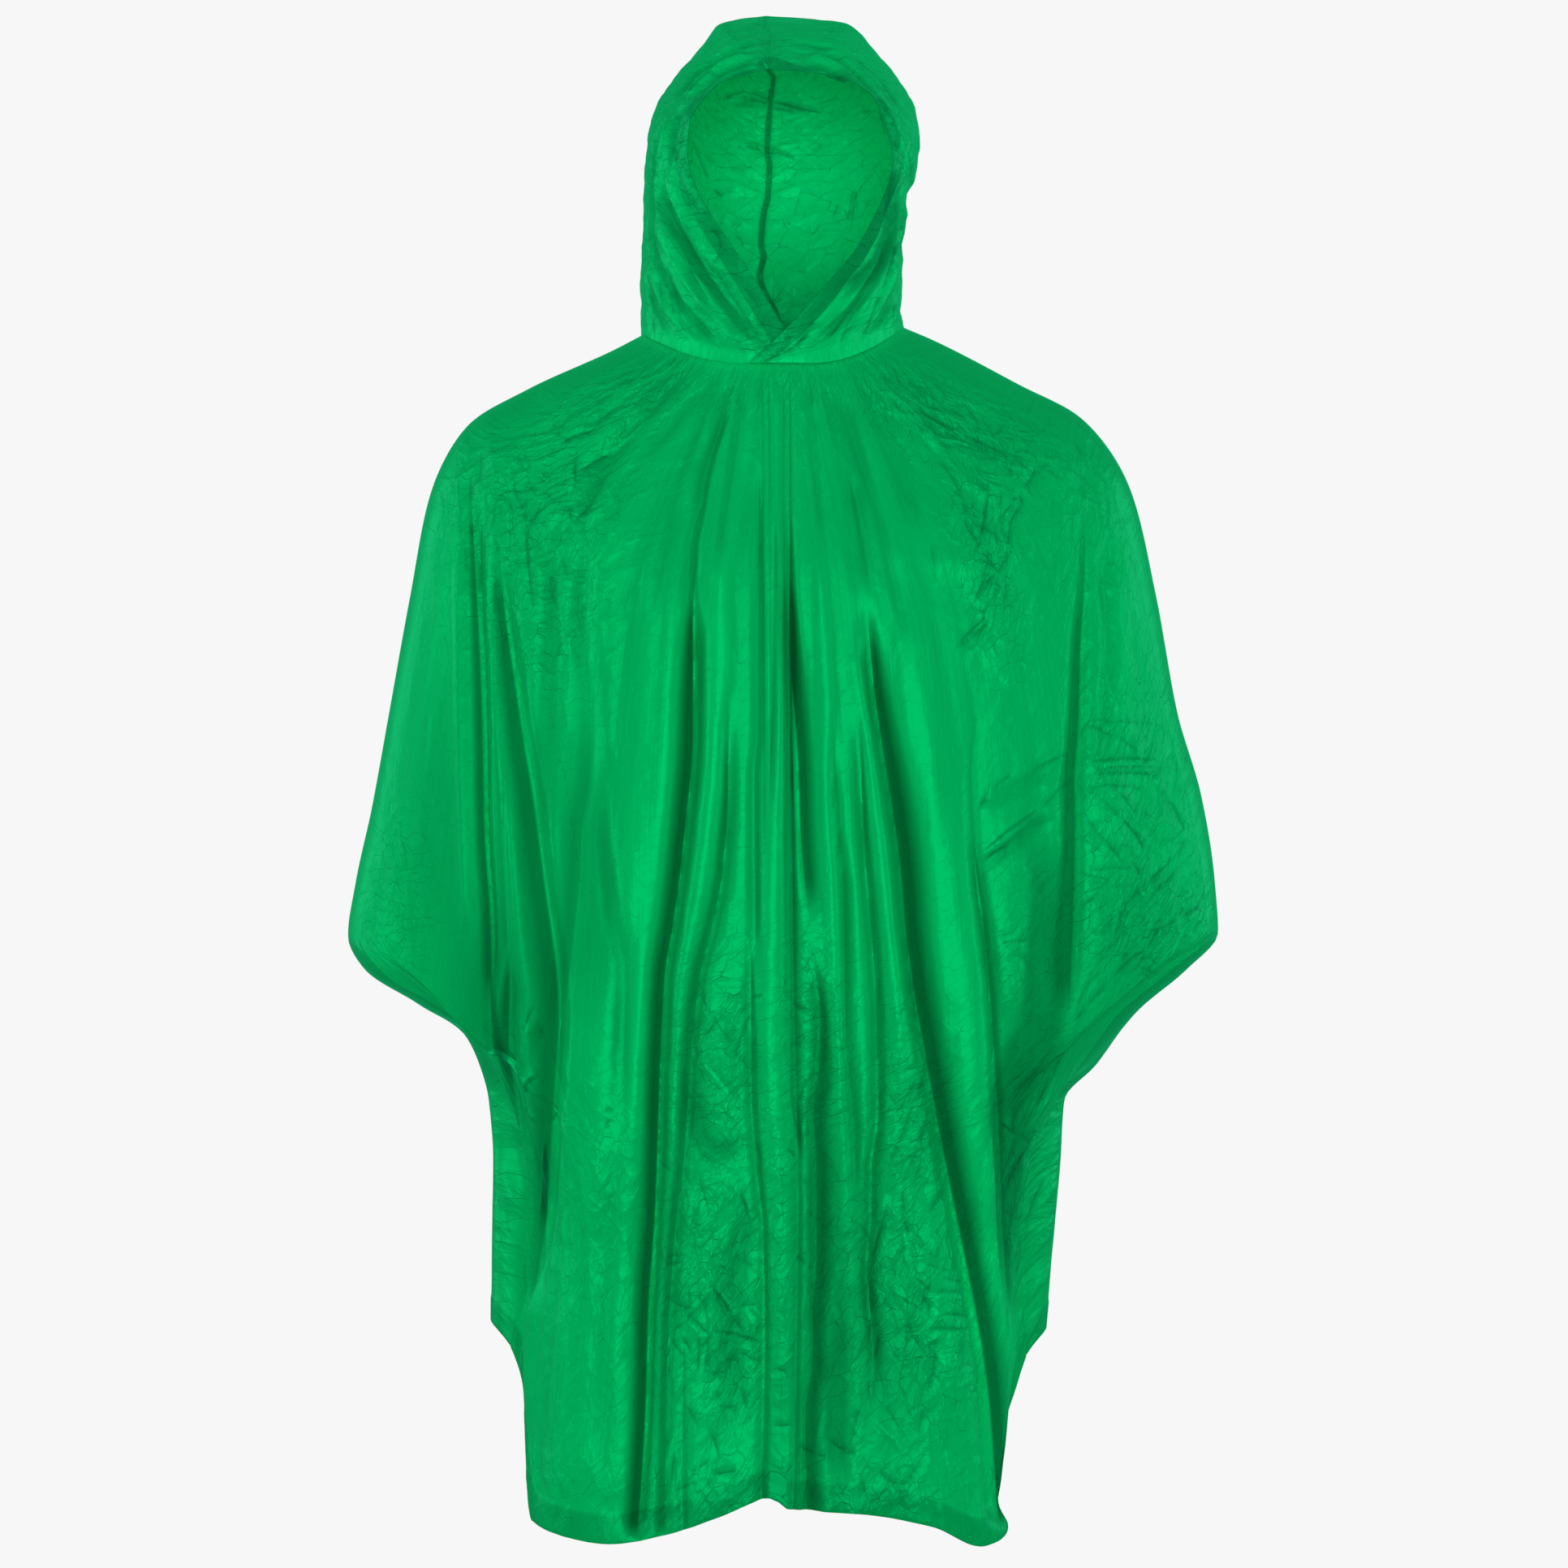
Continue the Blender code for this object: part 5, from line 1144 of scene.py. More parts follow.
def hood_surface(sections, rows, columns, band):
    """The smooth sheet of a hood half, rows from the neck up and columns from the lip to the seam.

    Each row is an ellipse in plan about the side's own place: x is the half width times the sine
    of the turn, and y the depth in front or behind times its cosine. The turn runs from where
    the lip cuts the ellipse to a half turn at the back, and the height from the lip to the side
    to the back.
    """
    up = np.linspace(0.0, 1.0, rows)
    knots = np.linspace(0.0, 1.0, len(sections))
    lip_x, lip_y, lip_z, side_x, side_y, side_z, back_y, back_z = (
        blended(knots, column(sections, HOOD_FIELDS, name), up)[:, None] for name in HOOD_FIELDS
    )
    seam_x = (CENTRE_X + (HOOD_SEAM_X - CENTRE_X) * smooth(up))[:, None]
    hand = 1.0 if side_x[rows // 2, 0] > HOOD_SEAM_X else -1.0
    reach = np.maximum(np.abs(side_x - seam_x), 1e-6)
    lip_turn = np.arcsin(np.clip((lip_x - seam_x) * hand / reach, -LIP_REACH, LIP_REACH))
    lip_turn = lip_turn * smooth((1 - up[:, None]) / 0.15)
    front_depth = (side_y - lip_y) / np.cos(lip_turn)
    neck_share = (up == 0.0)[:, None]

    def ring(turn):
        x = seam_x + hand * reach * np.sin(turn)
        y = side_y - np.where(turn < QUARTER, front_depth, back_y - side_y) * np.cos(turn)
        ahead = smooth((QUARTER - turn) / (QUARTER - lip_turn))
        behind = smooth((turn - QUARTER) / QUARTER)
        z = side_z + (lip_z - side_z) * ahead + (back_z - side_z) * behind
        seam_z = neck_height(turn, side_z[0, 0]) + SEAM_GAP
        return np.stack([x, y, np.where(neck_share, seam_z, z)], axis=-1)

    part = np.linspace(0.0, 1.0, DENSE)[None, :]
    turn = lip_turn + (math.pi - lip_turn) * part
    length = lengths_along(ring(turn))
    whole = length[:, -1:]
    edge = np.linspace(0.0, 1.0, BAND_COLUMNS)[None, :]
    even = np.linspace(0.0, 1.0, columns - BAND_COLUMNS)[None, :]
    inner = band + TIGHT
    wanted = np.concatenate([edge * band + 0 * whole, inner + even * (whole - inner)], axis=1) / whole
    return ring(read_rows(wanted, length / whole, turn)), hand


def hood_half(sections, folds, sizes):
    """One hood half, with a square strip along the back and crown seam so that the halves meet flat."""
    grid, hand = hood_surface(sections, HOOD_ROWS, HOOD_COLUMNS, sizes.strip_width)
    away = hand * (SEAM_GAP / 2 + SEAM_LIP)
    at_seam = np.zeros(grid.shape[:2])
    at_seam[:, -1] = 1.0
    at_seam[-1, :] = 1.0
    up = np.linspace(0.0, 1.0, HOOD_ROWS)[:, None]
    across = np.linspace(0.0, 1.0, HOOD_COLUMNS)[None, :]
    seam_z, seam_off = MM * np.array(HOOD_SEAM_RUN, float).T
    run = blended(seam_z, seam_off, np.clip(grid[..., 2], seam_z[0], seam_z[-1]))
    by_seam = 1 - (1 - smooth((across - 0.6) / 0.4)) * (1 - smooth((up - 0.85) / 0.15))
    grid[..., 0] += away * at_seam + run * by_seam * smooth(up / 0.15)
    seam_x = grid[:, -1:, 0].copy()
    outward = evened_grid(normals_of(grid) * hand, 6)
    ends = smooth(up / 0.06) * smooth((1 - up) / 0.02)
    in_front = ends * smooth((1 - up) / 0.1) * (1 - smooth((across - 0.5) / 0.2))
    behind = ends * smooth((across - 0.55) / 0.1) * smooth((1 - across) / 0.02)
    near = smooth(up / 0.03) * smooth((1 - up) / 0.08) * smooth((1 - across) / 0.04)
    strip = np.broadcast_to(np.arange(HOOD_COLUMNS) < BAND_COLUMNS, grid.shape[:2]).astype(float)
    x, y, z = np.moveaxis(grid, -1, 0)
    share = crumple_share(grid, HOOD_CRUMPLES)
    rumple = (crumpled(x * 26 + y * 20, z * 24 + y * 20, 2, 21) - 0.45) * RUMPLE * sizes.crumple * share
    front_lift, front_light = creased(grid, folds)
    back_lift, back_light = creased(grid, HOOD_BACK_CREASES)
    light = (1 - (1 - front_light) * in_front) * (1 - (1 - back_light) * behind)
    flow_up, flow_across = HOOD_RISE * up + 0 * across, HOOD_REACH * across + 0 * up
    wide, fine = noise(flow_up * 70 + 4, flow_across * 22, 9), noise(flow_up * 160, flow_across * 40, 13)
    streaks = (wide * WIDE_STREAKS + fine * HOOD_FINE_STREAKS) * near * smooth(across / 0.08)
    lift = front_lift * in_front + back_lift * behind + rumple * near + streaks
    # Painted light and shade along the streaks
    light = light * (1 + 0.07 * wide + 0.05 * fine)
    grid = grid + outward * (lift * sizes.fold_depth + LAYER * strip)[..., None]
    gap, depth = pressed_lines(grid, HOOD_LINES["left half"] + HOOD_LINES["right half"])
    back_gap, back_depth = pressed_lines(grid, HOOD_LINES["back wall"])
    seam = np.array([hand * SEAM_LIP, 0.0, 0.0])
    grid = np.concatenate([grid, grid[-1:] - seam], axis=0)
    grid = np.concatenate([grid, grid[:, -1:] - seam], axis=1)
    grid[-1, -1] = grid[-2, -1]
    # Painted shade on the face strip, read by height
    edge_z, edge_painted_shade = np.array(HOOD_EDGE_PAINTED_SHADE[hand]).T
    edge = np.interp(z / MM, edge_z, edge_painted_shade)
    # Painted shade on the face strip, and painted light over the back of each half, whose inner wall shows
    # through the face opening
    light = light * (1 - (1 - edge) * strip) * (1 + 0.28 * behind)
    # Painted light on the outside front of each half, more towards the crown
    outside = HOOD_PAINTED_LIGHT[hand] * (1 + 0.14 * smooth((up - 0.66) / 0.2))
    light = light * (1 + (outside - 1) * smooth((0.6 - across) / 0.1))
    # Painted light along the neck seam, against the shade of its groove
    light = light * (1 + 0.5 * np.exp(-((up / 0.014) ** 2)))
    at_back = (across > 0.55)[..., None]
    gap = np.where(at_back, back_gap, gap)
    depth = depth * smooth((0.5 - across) / 0.1)[..., None]
    depth = np.where(at_back, back_depth * (behind[..., None] > 0), depth)
    by_back_seam = (across > 0.9) & (up < 0.97)
    gap[..., -1] = np.where(by_back_seam, 6 * (x - seam_x) / MM, gap[..., -1])
    depth[..., -1] = np.where(by_back_seam, -10.0 * smooth(up / 0.05), depth[..., -1])
    # painted shading carries all the painted light and shade worked out above
    padded = {
        "crumple": share, "doubled": strip, "painted_shading": FULL_LIGHT * light,
        **set_fields("gap", gap), **set_fields("press", depth),
    }
    film = {
        name: np.pad(value, ((0, 1), (0, 1)) + ((0, 0),) * (value.ndim - 2), mode="edge")
        for name, value in padded.items()
    }
    flow_up, flow_across = np.meshgrid(
        np.linspace(0.0, HOOD_RISE, grid.shape[0]), np.linspace(0.0, HOOD_REACH, grid.shape[1]),
        indexing="ij")
    return grid, film, np.stack([flow_across, flow_up], axis=-1), hand


# ---------------- meshes and finishes


def grid_faces(rows, columns, flipped):
    """Four-sided faces of a grid of points, wound the other way if flipped."""
    index = np.arange(rows * columns).reshape(rows, columns)
    corners = [index[:-1, :-1], index[:-1, 1:], index[1:, 1:], index[1:, :-1]]
    if flipped:
        corners = corners[::-1]
    return np.stack(corners, axis=-1).reshape(-1, 4)


def film_sheet(name, grid, film, flow, flipped, materials, wall):
    """A piece of film: a mesh of a grid of points, with its attributes and its flow map."""
    old = bpy.data.objects.get(name)
    if old is not None:
        bpy.data.objects.remove(old, do_unlink=True)
    rows, columns = grid.shape[:2]
    faces = grid_faces(rows, columns, flipped)
    mesh = bpy.data.meshes.new(name)
    mesh.from_pydata(grid.reshape(-1, 3).tolist(), [], faces.tolist())
    for field, values in film.items():
        plain = values.ndim == 2
        attribute = mesh.attributes.new(field, "FLOAT" if plain else "FLOAT_VECTOR", "POINT")
        attribute.data.foreach_set(
            "value" if plain else "vector", np.ascontiguousarray(values, np.float32).ravel())
    layer = mesh.uv_layers.new(name="flow")
    layer.data.foreach_set("uv", flow.reshape(-1, 2)[faces.ravel()].astype(np.float32).ravel())
    mesh.validate()
    mesh.shade_smooth()
    mesh.set_sharp_from_angle(angle=math.radians(60))
    for material in materials:
        mesh.materials.append(material)
    piece = bpy.data.objects.new(name, mesh)
    bpy.context.scene.collection.objects.link(piece)
    shell = piece.modifiers.new("Wall", "SOLIDIFY")
    shell.material_offset = 1
    shell.thickness = wall
    shell.offset = -1.0
    shading = piece.modifiers.new("Shading", "WEIGHTED_NORMAL")
    shading.keep_sharp = True
    return piece


def set_inputs(node, values):
    """Sets a node's inputs by their names."""
    for name, value in values.items():
        node.inputs[name].default_value = value


def film_material(name, colour, settings):
    """Glossy vinyl film: fine crinkles where it is crumpled, streaks along its flow, darker hems, and the
    painted shade and painted highlights of its folds, creases and streaks.
    """
    old = bpy.data.materials.get(name)
    if old is not None:
        bpy.data.materials.remove(old)
    material = bpy.data.materials.new(name)
    material.use_nodes = True
    tree = material.node_tree
    nodes, links = tree.nodes, tree.links
    shader = nodes["Principled BSDF"]

    def node(kind, inputs, **values):
        made = nodes.new(kind)
        for key, value in values.items():
            setattr(made, key, value)
        set_inputs(made, inputs)
        return made

    def attribute(field, output="Fac"):
        return node("ShaderNodeAttribute", {}, attribute_name=field).outputs[output]

    def maths(operation, first, second):
        made = node("ShaderNodeMath", {}, operation=operation)
        for socket, value in zip(made.inputs, (first, second)):
            if isinstance(value, (int, float)):
                socket.default_value = value
            else:
                links.new(value, socket)
        return made.outputs[0]

    def vectors(operation, first, second, third=(1.0, 1.0, 1.0)):
        made = node("ShaderNodeVectorMath", {}, operation=operation)
        for socket, value in zip(made.inputs, (first, second, third)):
            if isinstance(value, tuple):
                socket.default_value = value
            else:
                links.new(value, socket)
        return made.outputs["Value" if operation == "DOT_PRODUCT" else "Vector"]

    def fallen(gap, width):
        squared = vectors("MULTIPLY", gap, gap)
        under = vectors("MULTIPLY_ADD", squared, (1 / width**2,) * 3)
        return vectors("DIVIDE", (1.0, 1.0, 1.0), under)

    def lines_pressed():
        core = wide = slope = 0.0
        for index in range(LINE_SETS // 3):
            gap, press = attribute("gap%d" % index, "Vector"), attribute("press%d" % index, "Vector")
            narrow = fallen(gap, LINE_WIDTH)
            core = maths("ADD", core, vectors("DOT_PRODUCT", press, narrow))
            wide = maths("ADD", wide, vectors("DOT_PRODUCT", press, fallen(gap, 4 * LINE_WIDTH)))
            slope = maths("ADD", slope, vectors("DOT_PRODUCT", vectors("MULTIPLY", press, gap), narrow))
        return core, wide, slope

    def ramp(value, slope, start):
        rising = vectors("MULTIPLY_ADD", value, (slope,) * 3, (start,) * 3)
        return vectors("MAXIMUM", vectors("MINIMUM", rising, (1.0, 1.0, 1.0)), (0.0, 0.0, 0.0))

    def bands_shaded():
        dark = lip = 0.0
        for index in range(BAND_SETS // 3):
            across = attribute("across%d" % index, "Vector")
            shade = attribute("shade%d" % index, "Vector")
            inside = vectors("MULTIPLY", ramp(across, 8.0, 1.0), ramp(across, -1.4, 1.55))
            dark = maths("ADD", dark, vectors("DOT_PRODUCT", shade, inside))
            beside = vectors("MULTIPLY", ramp(across, 6.0, 3.0), ramp(across, -6.0, -0.9))
            lip = maths("ADD", lip, vectors("DOT_PRODUCT", shade, beside))
        return maths("MINIMUM", dark, DARKEST), lip

    def turned_flow(turn, length):
        along = {"Rotation": (0.0, 0.0, math.radians(turn)), "Scale": (1.0, length, 1.0)}
        turned = node("ShaderNodeMapping", along, vector_type="TEXTURE")
        links.new(bent, turned.inputs["Vector"])
        return turned.outputs["Vector"]

    def facets(turn, scale, length):
        turned = turned_flow(turn, length)
        cells = node(
            "ShaderNodeTexVoronoi", {"Scale": scale, "Smoothness": 0.1},
            feature="SMOOTH_F1", voronoi_dimensions="2D")
        links.new(turned, cells.inputs["Vector"])
        tilt = vectors("SUBTRACT", cells.outputs["Color"], (0.5, 0.5, 0.5))
        way = vectors("SUBTRACT", turned, cells.outputs["Position"])
        return vectors("DOT_PRODUCT", way, tilt)

    def wrinkles(turn, scale, length):
        ridges = node(
            "ShaderNodeTexNoise",
            {"Scale": scale, "Detail": 3.0, "Roughness": 0.55, "Lacunarity": 2.1, "Offset": 1.0,
             "Gain": 1.6}, noise_dimensions="2D", noise_type="RIDGED_MULTIFRACTAL")
        links.new(turned_flow(turn, length), ridges.inputs["Vector"])
        return ridges.outputs["Fac"]

    flow = node("ShaderNodeUVMap", {}, uv_map="flow").outputs["UV"]
    warp = node("ShaderNodeTexNoise", {"Scale": 24.0, "Detail": 2.0}, noise_dimensions="2D")
    links.new(flow, warp.inputs["Vector"])
    bent = vectors("MULTIPLY_ADD", warp.outputs["Color"], (0.016, 0.016, 0.0), flow)
    facet = facets(52.0, 130.0, 2.2)
    rising, falling = wrinkles(-38.0, 26.0, 2.2), wrinkles(50.0, 44.0, 2.6)

    stretch = node("ShaderNodeMapping", {"Scale": (300.0, 12.0, 1.0)})
    links.new(flow, stretch.inputs["Vector"])
    streaks = node("ShaderNodeTexNoise", {"Scale": 1.0, "Detail": 3.0, "Distortion": 0.3})
    links.new(stretch.outputs["Vector"], streaks.inputs["Vector"])
    streak = streaks.outputs["Fac"]

    # painted shading of each point, from its folds, creases, places, streaks and seams
    crumple, doubled, painted_shading = attribute("crumple"), attribute("doubled"), attribute("painted_shading")
    core, wide, slope = lines_pressed()
    # painted shade in the crisp folds, and painted highlights along their lips
    dark, lip = bands_shaded()
    rising, falling = maths("MULTIPLY", rising, RISING_HEIGHT), maths("MULTIPLY", falling, FALLING_HEIGHT)
    height = maths("ADD", rising, falling)
    height = maths("ADD", height, maths("MULTIPLY", facet, FACET_HEIGHT))
    height = maths("MULTIPLY", height, maths("ADD", crumple, EVERYWHERE))
    pressed = maths("ADD", maths("MULTIPLY", core, CORE_HEIGHT), maths("MULTIPLY", wide, WIDE_HEIGHT))
    height = maths("ADD", height, pressed)
    height = maths("ADD", height, maths("MULTIPLY", streak, STREAK_HEIGHT))
    bump = node("ShaderNodeBump", {"Strength": settings.crinkle, "Distance": 1.0})
    links.new(height, bump.inputs["Height"])
    links.new(bump.outputs["Normal"], shader.inputs["Normal"])

    # painted light and shade of the fine creases, painted highlights beside crisp folds, and darker doubled
    # film
    painted_crease_light = maths("ADD", maths("MULTIPLY", core, CORE_LIGHT), maths("MULTIPLY", slope, SLOPE_LIGHT))
    light = maths("ADD", 1.0, painted_crease_light)
    light = maths("MULTIPLY", light, maths("ADD", 1.0, maths("MULTIPLY", lip, LIP_LIGHT)))
    light = maths("MULTIPLY", light, maths("SUBTRACT", 1.0, maths("MULTIPLY", doubled, HEM_SHADE)))
    # painted light and shade along the streaks
    painted_streak_light = maths("ADD", maths("MULTIPLY", streak, STREAK_LIGHT), BETWEEN_STREAKS)
    light = maths("MULTIPLY", light, painted_streak_light)
    # painted shade of the crisp folds darkens the painted shading further
    painted_shading = maths("MULTIPLY", painted_shading, maths("SUBTRACT", 1.0, dark))
    light = maths("MULTIPLY", light, painted_shading)
    mix = node("ShaderNodeMix", {"A": (0.0, 0.0, 0.0, 1.0), "B": (*colour, 1.0)}, data_type="RGBA")
    links.new(light, mix.inputs["Factor"])
    links.new(mix.outputs["Result"], shader.inputs["Base Color"])

    rough = maths("ADD", maths("MULTIPLY", streak, 0.12), settings.roughness - 0.06)
    deep = maths("MAXIMUM", maths("SUBTRACT", FULL_LIGHT - 0.06, painted_shading), 0.0)
    rough = maths("MINIMUM", maths("ADD", rough, maths("MULTIPLY", deep, 1.6)), 0.85)
    links.new(rough, shader.inputs["Roughness"])
    set_inputs(shader, {
        "Metallic": 0.0,
        "Specular IOR Level": 0.7, "Specular Tint": (0.0, 1.0, 0.5, 1.0),
        "Sheen Weight": 0.25, "Sheen Roughness": 0.4, "Sheen Tint": (0.0, 1.0, 0.5, 1.0),
    })
    material.diffuse_color = (*colour, 1.0)
    return material


def film_pair(name, colour, sizes):
    """The film as seen from outside, and a lighter copy of it for the inside: painted light that stands for
    the light coming through the film.
    """
    return (
        film_material(name + " film", colour, sizes),
        film_material(name + " film inside", sizes.inside, sizes),
    )


# ---------------- what a user may change


class PonchoSizes(bpy.types.PropertyGroup):
    """Sizes and colours of the film."""

    wall: bpy.props.FloatProperty(
        name="Film", description="Thickness of the film as shown",
        default=0.0008, min=0.0002, max=0.002, unit="LENGTH")
    hem_width: bpy.props.FloatProperty(
        name="Hem", description="Width of the turned hems",
        default=0.022, min=0.01, max=0.04, unit="LENGTH")
    cuff_width: bpy.props.FloatProperty(
        name="Cuffs", description="Width of the sleeves' turned hems",
        default=0.058, min=0.01, max=0.08, unit="LENGTH")
    strip_width: bpy.props.FloatProperty(
        name="Face strip", description="Width of the turned strip round the face",
        default=0.017, min=0.008, max=0.03, unit="LENGTH")
    fold_depth: bpy.props.FloatProperty(
        name="Folds", description="Depth of the folds, as a share of their own",
        default=1.0, min=0.0, max=1.2)
    crumple: bpy.props.FloatProperty(
        name="Crumples", description="Height of the crumples, as a share of their own",
        default=1.0, min=0.0, max=2.0)
    crinkle: bpy.props.FloatProperty(
        name="Crinkles", description="Strength of the finest crinkles", default=1.0, min=0.0, max=1.0)
    roughness: bpy.props.FloatProperty(
        name="Roughness", description="Roughness of the film", default=0.34, min=0.05, max=1.0)
    # painted light: the inner side is a lighter copy of the film's colour, for the light that comes through
    # it
    inside: bpy.props.FloatVectorProperty(
        name="Inner colour", description="Colour of the inner side of the film, where light comes through",
        default=(0.0, 0.88, 0.47), size=3, min=0.0, max=1.0, subtype="COLOR")
    colour: bpy.props.FloatVectorProperty(
        name="Film colour", description="Colour of the body's film",
        default=(0.0, 0.48, 0.215), size=3, min=0.0, max=1.0, subtype="COLOR")
    hood_colour: bpy.props.FloatVectorProperty(
        name="Hood colour", description="Colour of the hood's film",
        default=(0.0, 0.5, 0.225), size=3, min=0.0, max=1.0, subtype="COLOR")


class PonchoStage(bpy.types.PropertyGroup):
    """The studio that the garment is shown in."""

    backdrop: bpy.props.FloatProperty(
        name="Backdrop", description="Brightness of the floor and backdrop", default=0.93, min=0.0, max=2.0)
    ambient: bpy.props.FloatProperty(
        name="Ambient", description="Brightness of the light from all round", default=0.3, min=0.0, max=2.0)
    tint: bpy.props.FloatVectorProperty(
        name="Light colour", description="Colour of all lights, near the film's to keep its gloss green",
        default=(0.06, 1.0, 0.53), size=3, min=0.0, max=1.0, subtype="COLOR")
    key: bpy.props.FloatProperty(
        name="Key light", description="Power of the large soft light in front",
        default=124.0, min=0.0, max=900.0, unit="POWER")
    lens: bpy.props.FloatProperty(
        name="Lens", description="Focal length in millimetres", default=85.0, min=20.0, max=300.0)


# ---------------- operators


def dress(piece, node):
    """Hangs a piece from the root, in the place of its solid, and hides that solid."""
    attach(piece, "root")
    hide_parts(node)


class PONCHO_OT_front(bpy.types.Operator):
    """Hangs the front panel, with the front halves of both sleeves."""

    bl_idname = "poncho.front"
    bl_label = "Front panel"

    def execute(self, context):
        sizes = context.scene.poncho_sizes
        materials = film_pair("front", sizes.colour, sizes)
        grid, film, flow = panel(
            "front", FRONT_ROWS, FRONT_HALF_COLUMNS, FRONT_FOLDS, FRONT_PLEATS, FRONT_CREASES,
            sum(FRONT_LINES.values(), ()), FRONT_CRUMPLES, FRONT_PAINTED_SHADE, FRONT_HEM_DIP, sizes)
        piece = film_sheet("front_panel", grid, film, flow, True, materials, sizes.wall)
        dress(piece, "front")
        return {"FINISHED"}


class PONCHO_OT_back(bpy.types.Operator):
    """Hangs the back panel, with the back halves of both sleeves."""

    bl_idname = "poncho.back"
    bl_label = "Back panel"

    def execute(self, context):
        sizes = context.scene.poncho_sizes
        materials = film_pair("back", sizes.colour, sizes)
        grid, film, flow = panel(
            "back", BACK_ROWS, BACK_HALF_COLUMNS, BACK_FOLDS, BACK_PLEATS, BACK_CREASES,
            back_lines(), BACK_CRUMPLES, BACK_PAINTED_SHADE, BACK_HEM_DIP, sizes)
        piece = film_sheet("back_panel", grid, film, flow, True, materials, sizes.wall)
        dress(piece, "back")
        return {"FINISHED"}


class PONCHO_OT_hood(bpy.types.Operator):
    """Puts up the two halves of the hood, the right-hand one lapped over the other at the chin."""

    bl_idname = "poncho.hood"
    bl_label = "Hood"

    def execute(self, context):
        sizes = context.scene.poncho_sizes
        materials = film_pair("hood", sizes.hood_colour, sizes)
        for node, sections, folds in (
            ("hood_left", HOOD_LEFT_SECTIONS, HOOD_LEFT_FOLDS),
            ("hood_right", HOOD_RIGHT_SECTIONS, HOOD_RIGHT_FOLDS),
        ):
            grid, film, flow, hand = hood_half(sections, folds, sizes)
            piece = film_sheet(node + "_half", grid, film, flow, hand < 0, materials, sizes.wall)
            dress(piece, node)
        return {"FINISHED"}


class PONCHO_OT_stage(bpy.types.Operator):
    """Sets the pale floor and backdrop, the soft lights and the camera."""

    bl_idname = "poncho.stage"
    bl_label = "Stage"

    def execute(self, context):
        scene = context.scene
        stage = scene.poncho_stage
        make_backdrop(stage.backdrop)
        make_lights(stage)
        make_camera(scene, stage.lens)
        scene.view_settings.view_transform = "Standard"
        scene.view_settings.look = "None"
        return {"FINISHED"}


# ---------------- the studio

FLOOR_Z = -1.45
BOWL_RADIUS = 9.0
BOWL_BEND = 3.0
BOWL_HEIGHT = 9.0
CAMERA_PLACE = (0.009, -2.92, -0.343)
SENSOR = 36.0


def make_backdrop(brightness):
    """A round pale floor that bends up into a wall all round, closed at the middle.

    Its profile is a straight floor, a quarter circle and a straight wall, turned about Z.
    """
    bend = np.linspace(0.0, QUARTER, 12)
    radius = np.concatenate([
        np.linspace(0.5, BOWL_RADIUS - BOWL_BEND, 8)[:-1],
        BOWL_RADIUS - BOWL_BEND + BOWL_BEND * np.sin(bend),
        [BOWL_RADIUS],
    ])
    height = np.concatenate([
        np.zeros(7),
        BOWL_BEND * (1 - np.cos(bend)),
        [BOWL_HEIGHT],
    ]) + FLOOR_Z
    turn = np.linspace(0.0, 2 * math.pi, 64, endpoint=False)
    ring = np.stack([
        radius[:, None] * np.cos(turn),
        radius[:, None] * np.sin(turn),
        np.broadcast_to(height[:, None], (len(radius), len(turn))),
    ], axis=-1)
    points = np.concatenate([[[0.0, 0.0, FLOOR_Z]], ring.reshape(-1, 3)])
    index = 1 + np.arange(len(radius) * len(turn)).reshape(len(radius), len(turn))
    after = np.roll(index, -1, axis=1)
    wall = np.stack([index[:-1], index[1:], after[1:], after[:-1]], axis=-1).reshape(-1, 4)
    hub = np.stack([np.zeros(len(turn), int), index[0], after[0]], axis=-1)
    mesh = bpy.data.meshes.new("backdrop")
    mesh.from_pydata(points.tolist(), [], wall.tolist() + hub.tolist())
    mesh.shade_smooth()
    paper = bpy.data.materials.new("pale paper")
    paper.use_nodes = True
    set_inputs(paper.node_tree.nodes["Principled BSDF"], {
        "Base Color": (0.0, 0.0, 0.0, 1.0), "Roughness": 1.0, "Specular IOR Level": 0.0,
        "Emission Color": (1.0, 1.0, 1.0, 1.0), "Emission Strength": brightness,
    })
    mesh.materials.append(paper)
    backdrop = bpy.data.objects.new("backdrop", mesh)
    bpy.context.scene.collection.objects.link(backdrop)
    backdrop.visible_diffuse = False
    backdrop.visible_glossy = False
    backdrop.visible_transmission = False
    backdrop.visible_shadow = False


# Soft lights: where each stands, where it points, its width and height, its share of the key, and
# whether the film mirrors it
LIGHTS = {
    "front softbox": ((0.0, -4.4, -0.4), (0.0, 0.0, -0.5), 3.6, 2.6, 1.0, True),
    "left softbox": ((-4.0, -0.6, 0.3), (0.0, 0.0, -0.4), 1.2, 2.6, 0.3, True),
    "right softbox": ((4.0, -0.6, 0.3), (0.0, 0.0, -0.4), 1.2, 2.6, 0.25, True),
    "left rim": ((-3.4, 1.9, 0.3), (0.0, 0.0, -0.4), 1.0, 2.6, 0.15, True),
    "right rim": ((3.4, 1.9, 0.3), (0.0, 0.0, -0.4), 1.0, 2.6, 0.15, True),
    "back softbox": ((0.0, 4.4, 0.2), (0.0, 0.0, -0.45), 3.6, 2.6, 0.7, False),
}


def turned_to(place, target):
    """The turn that points a light or camera at place towards target."""
    way = np.subtract(target, place)
    flat = math.hypot(way[0], way[1])
    return (math.atan2(flat, -way[2]), 0.0, math.atan2(-way[0], way[1]))


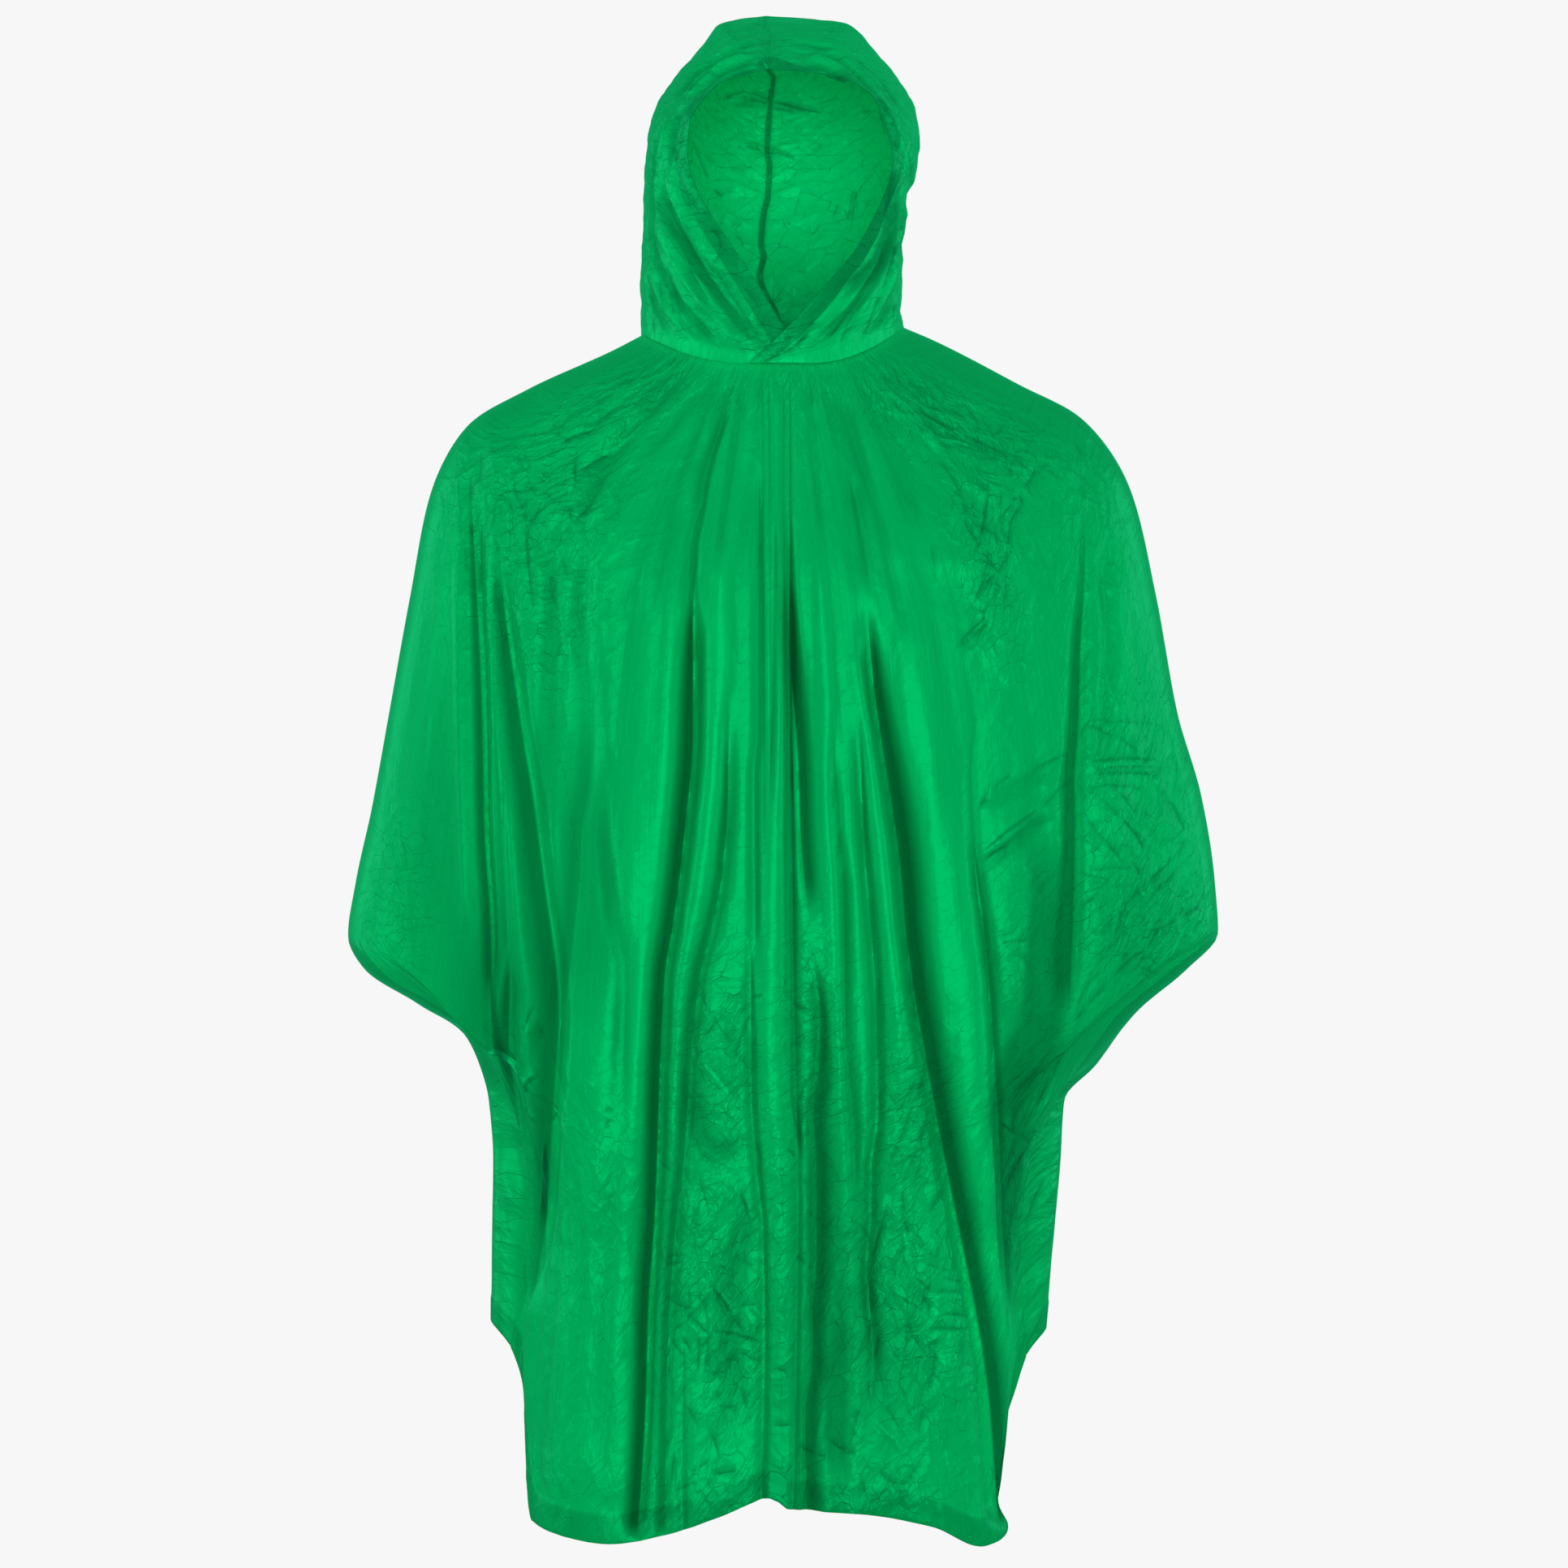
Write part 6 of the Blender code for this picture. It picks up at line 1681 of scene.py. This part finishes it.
def make_lights(stage):
    """The soft lights, and the even light from all round."""
    for name, (place, target, width, height, share, mirrored) in LIGHTS.items():
        lamp = bpy.data.lights.new(name, "AREA")
        lamp.shape = "RECTANGLE"
        lamp.size = width
        lamp.size_y = height
        lamp.energy = stage.key * share
        lamp.color = stage.tint
        light = bpy.data.objects.new(name, lamp)
        light.location = place
        light.rotation_euler = turned_to(place, target)
        light.visible_glossy = mirrored
        bpy.context.scene.collection.objects.link(light)
    world = bpy.data.worlds.new("studio")
    world.use_nodes = True
    background = world.node_tree.nodes["Background"]
    set_inputs(background, {"Color": (*stage.tint, 1.0), "Strength": stage.ambient})
    bpy.context.scene.world = world


def make_camera(scene, lens):
    """A level camera in front, looking along +Y."""
    data = bpy.data.cameras.new("camera")
    data.lens = lens
    data.sensor_width = SENSOR
    camera = bpy.data.objects.new("camera", data)
    camera.location = CAMERA_PLACE
    camera.rotation_euler = (QUARTER, 0.0, 0.0)
    scene.collection.objects.link(camera)
    scene.camera = camera


# ---------------- the panel and the run


class PONCHO_PT_panel(bpy.types.Panel):
    """Lists the pieces of the poncho and what may be changed."""

    bl_idname = "PONCHO_PT_panel"
    bl_label = "Rain poncho"
    bl_space_type = "VIEW_3D"
    bl_region_type = "UI"
    bl_category = "Poncho"

    def draw(self, context):
        scene = context.scene
        for group in (scene.poncho_sizes, scene.poncho_stage):
            box = self.layout.box()
            for name in group.__annotations__:
                box.prop(group, name)
        for operator in (PONCHO_OT_front, PONCHO_OT_back, PONCHO_OT_hood, PONCHO_OT_stage):
            self.layout.operator(operator.bl_idname)


CLASSES = (
    PonchoSizes, PonchoStage,
    PONCHO_OT_front, PONCHO_OT_back, PONCHO_OT_hood, PONCHO_OT_stage,
    PONCHO_PT_panel,
)


def register():
    for cls in CLASSES:
        bpy.utils.register_class(cls)
    bpy.types.Scene.poncho_sizes = bpy.props.PointerProperty(type=PonchoSizes)
    bpy.types.Scene.poncho_stage = bpy.props.PointerProperty(type=PonchoStage)


def unregister():
    del bpy.types.Scene.poncho_stage
    del bpy.types.Scene.poncho_sizes
    for cls in reversed(CLASSES):
        bpy.utils.unregister_class(cls)


def main():
    """Dresses the whole garment, sets the stage, and keeps the solids, hidden."""
    register()
    bpy.ops.poncho.front()
    bpy.ops.poncho.back()
    bpy.ops.poncho.hood()
    bpy.ops.poncho.stage()


if __name__ == "__main__":
    main()
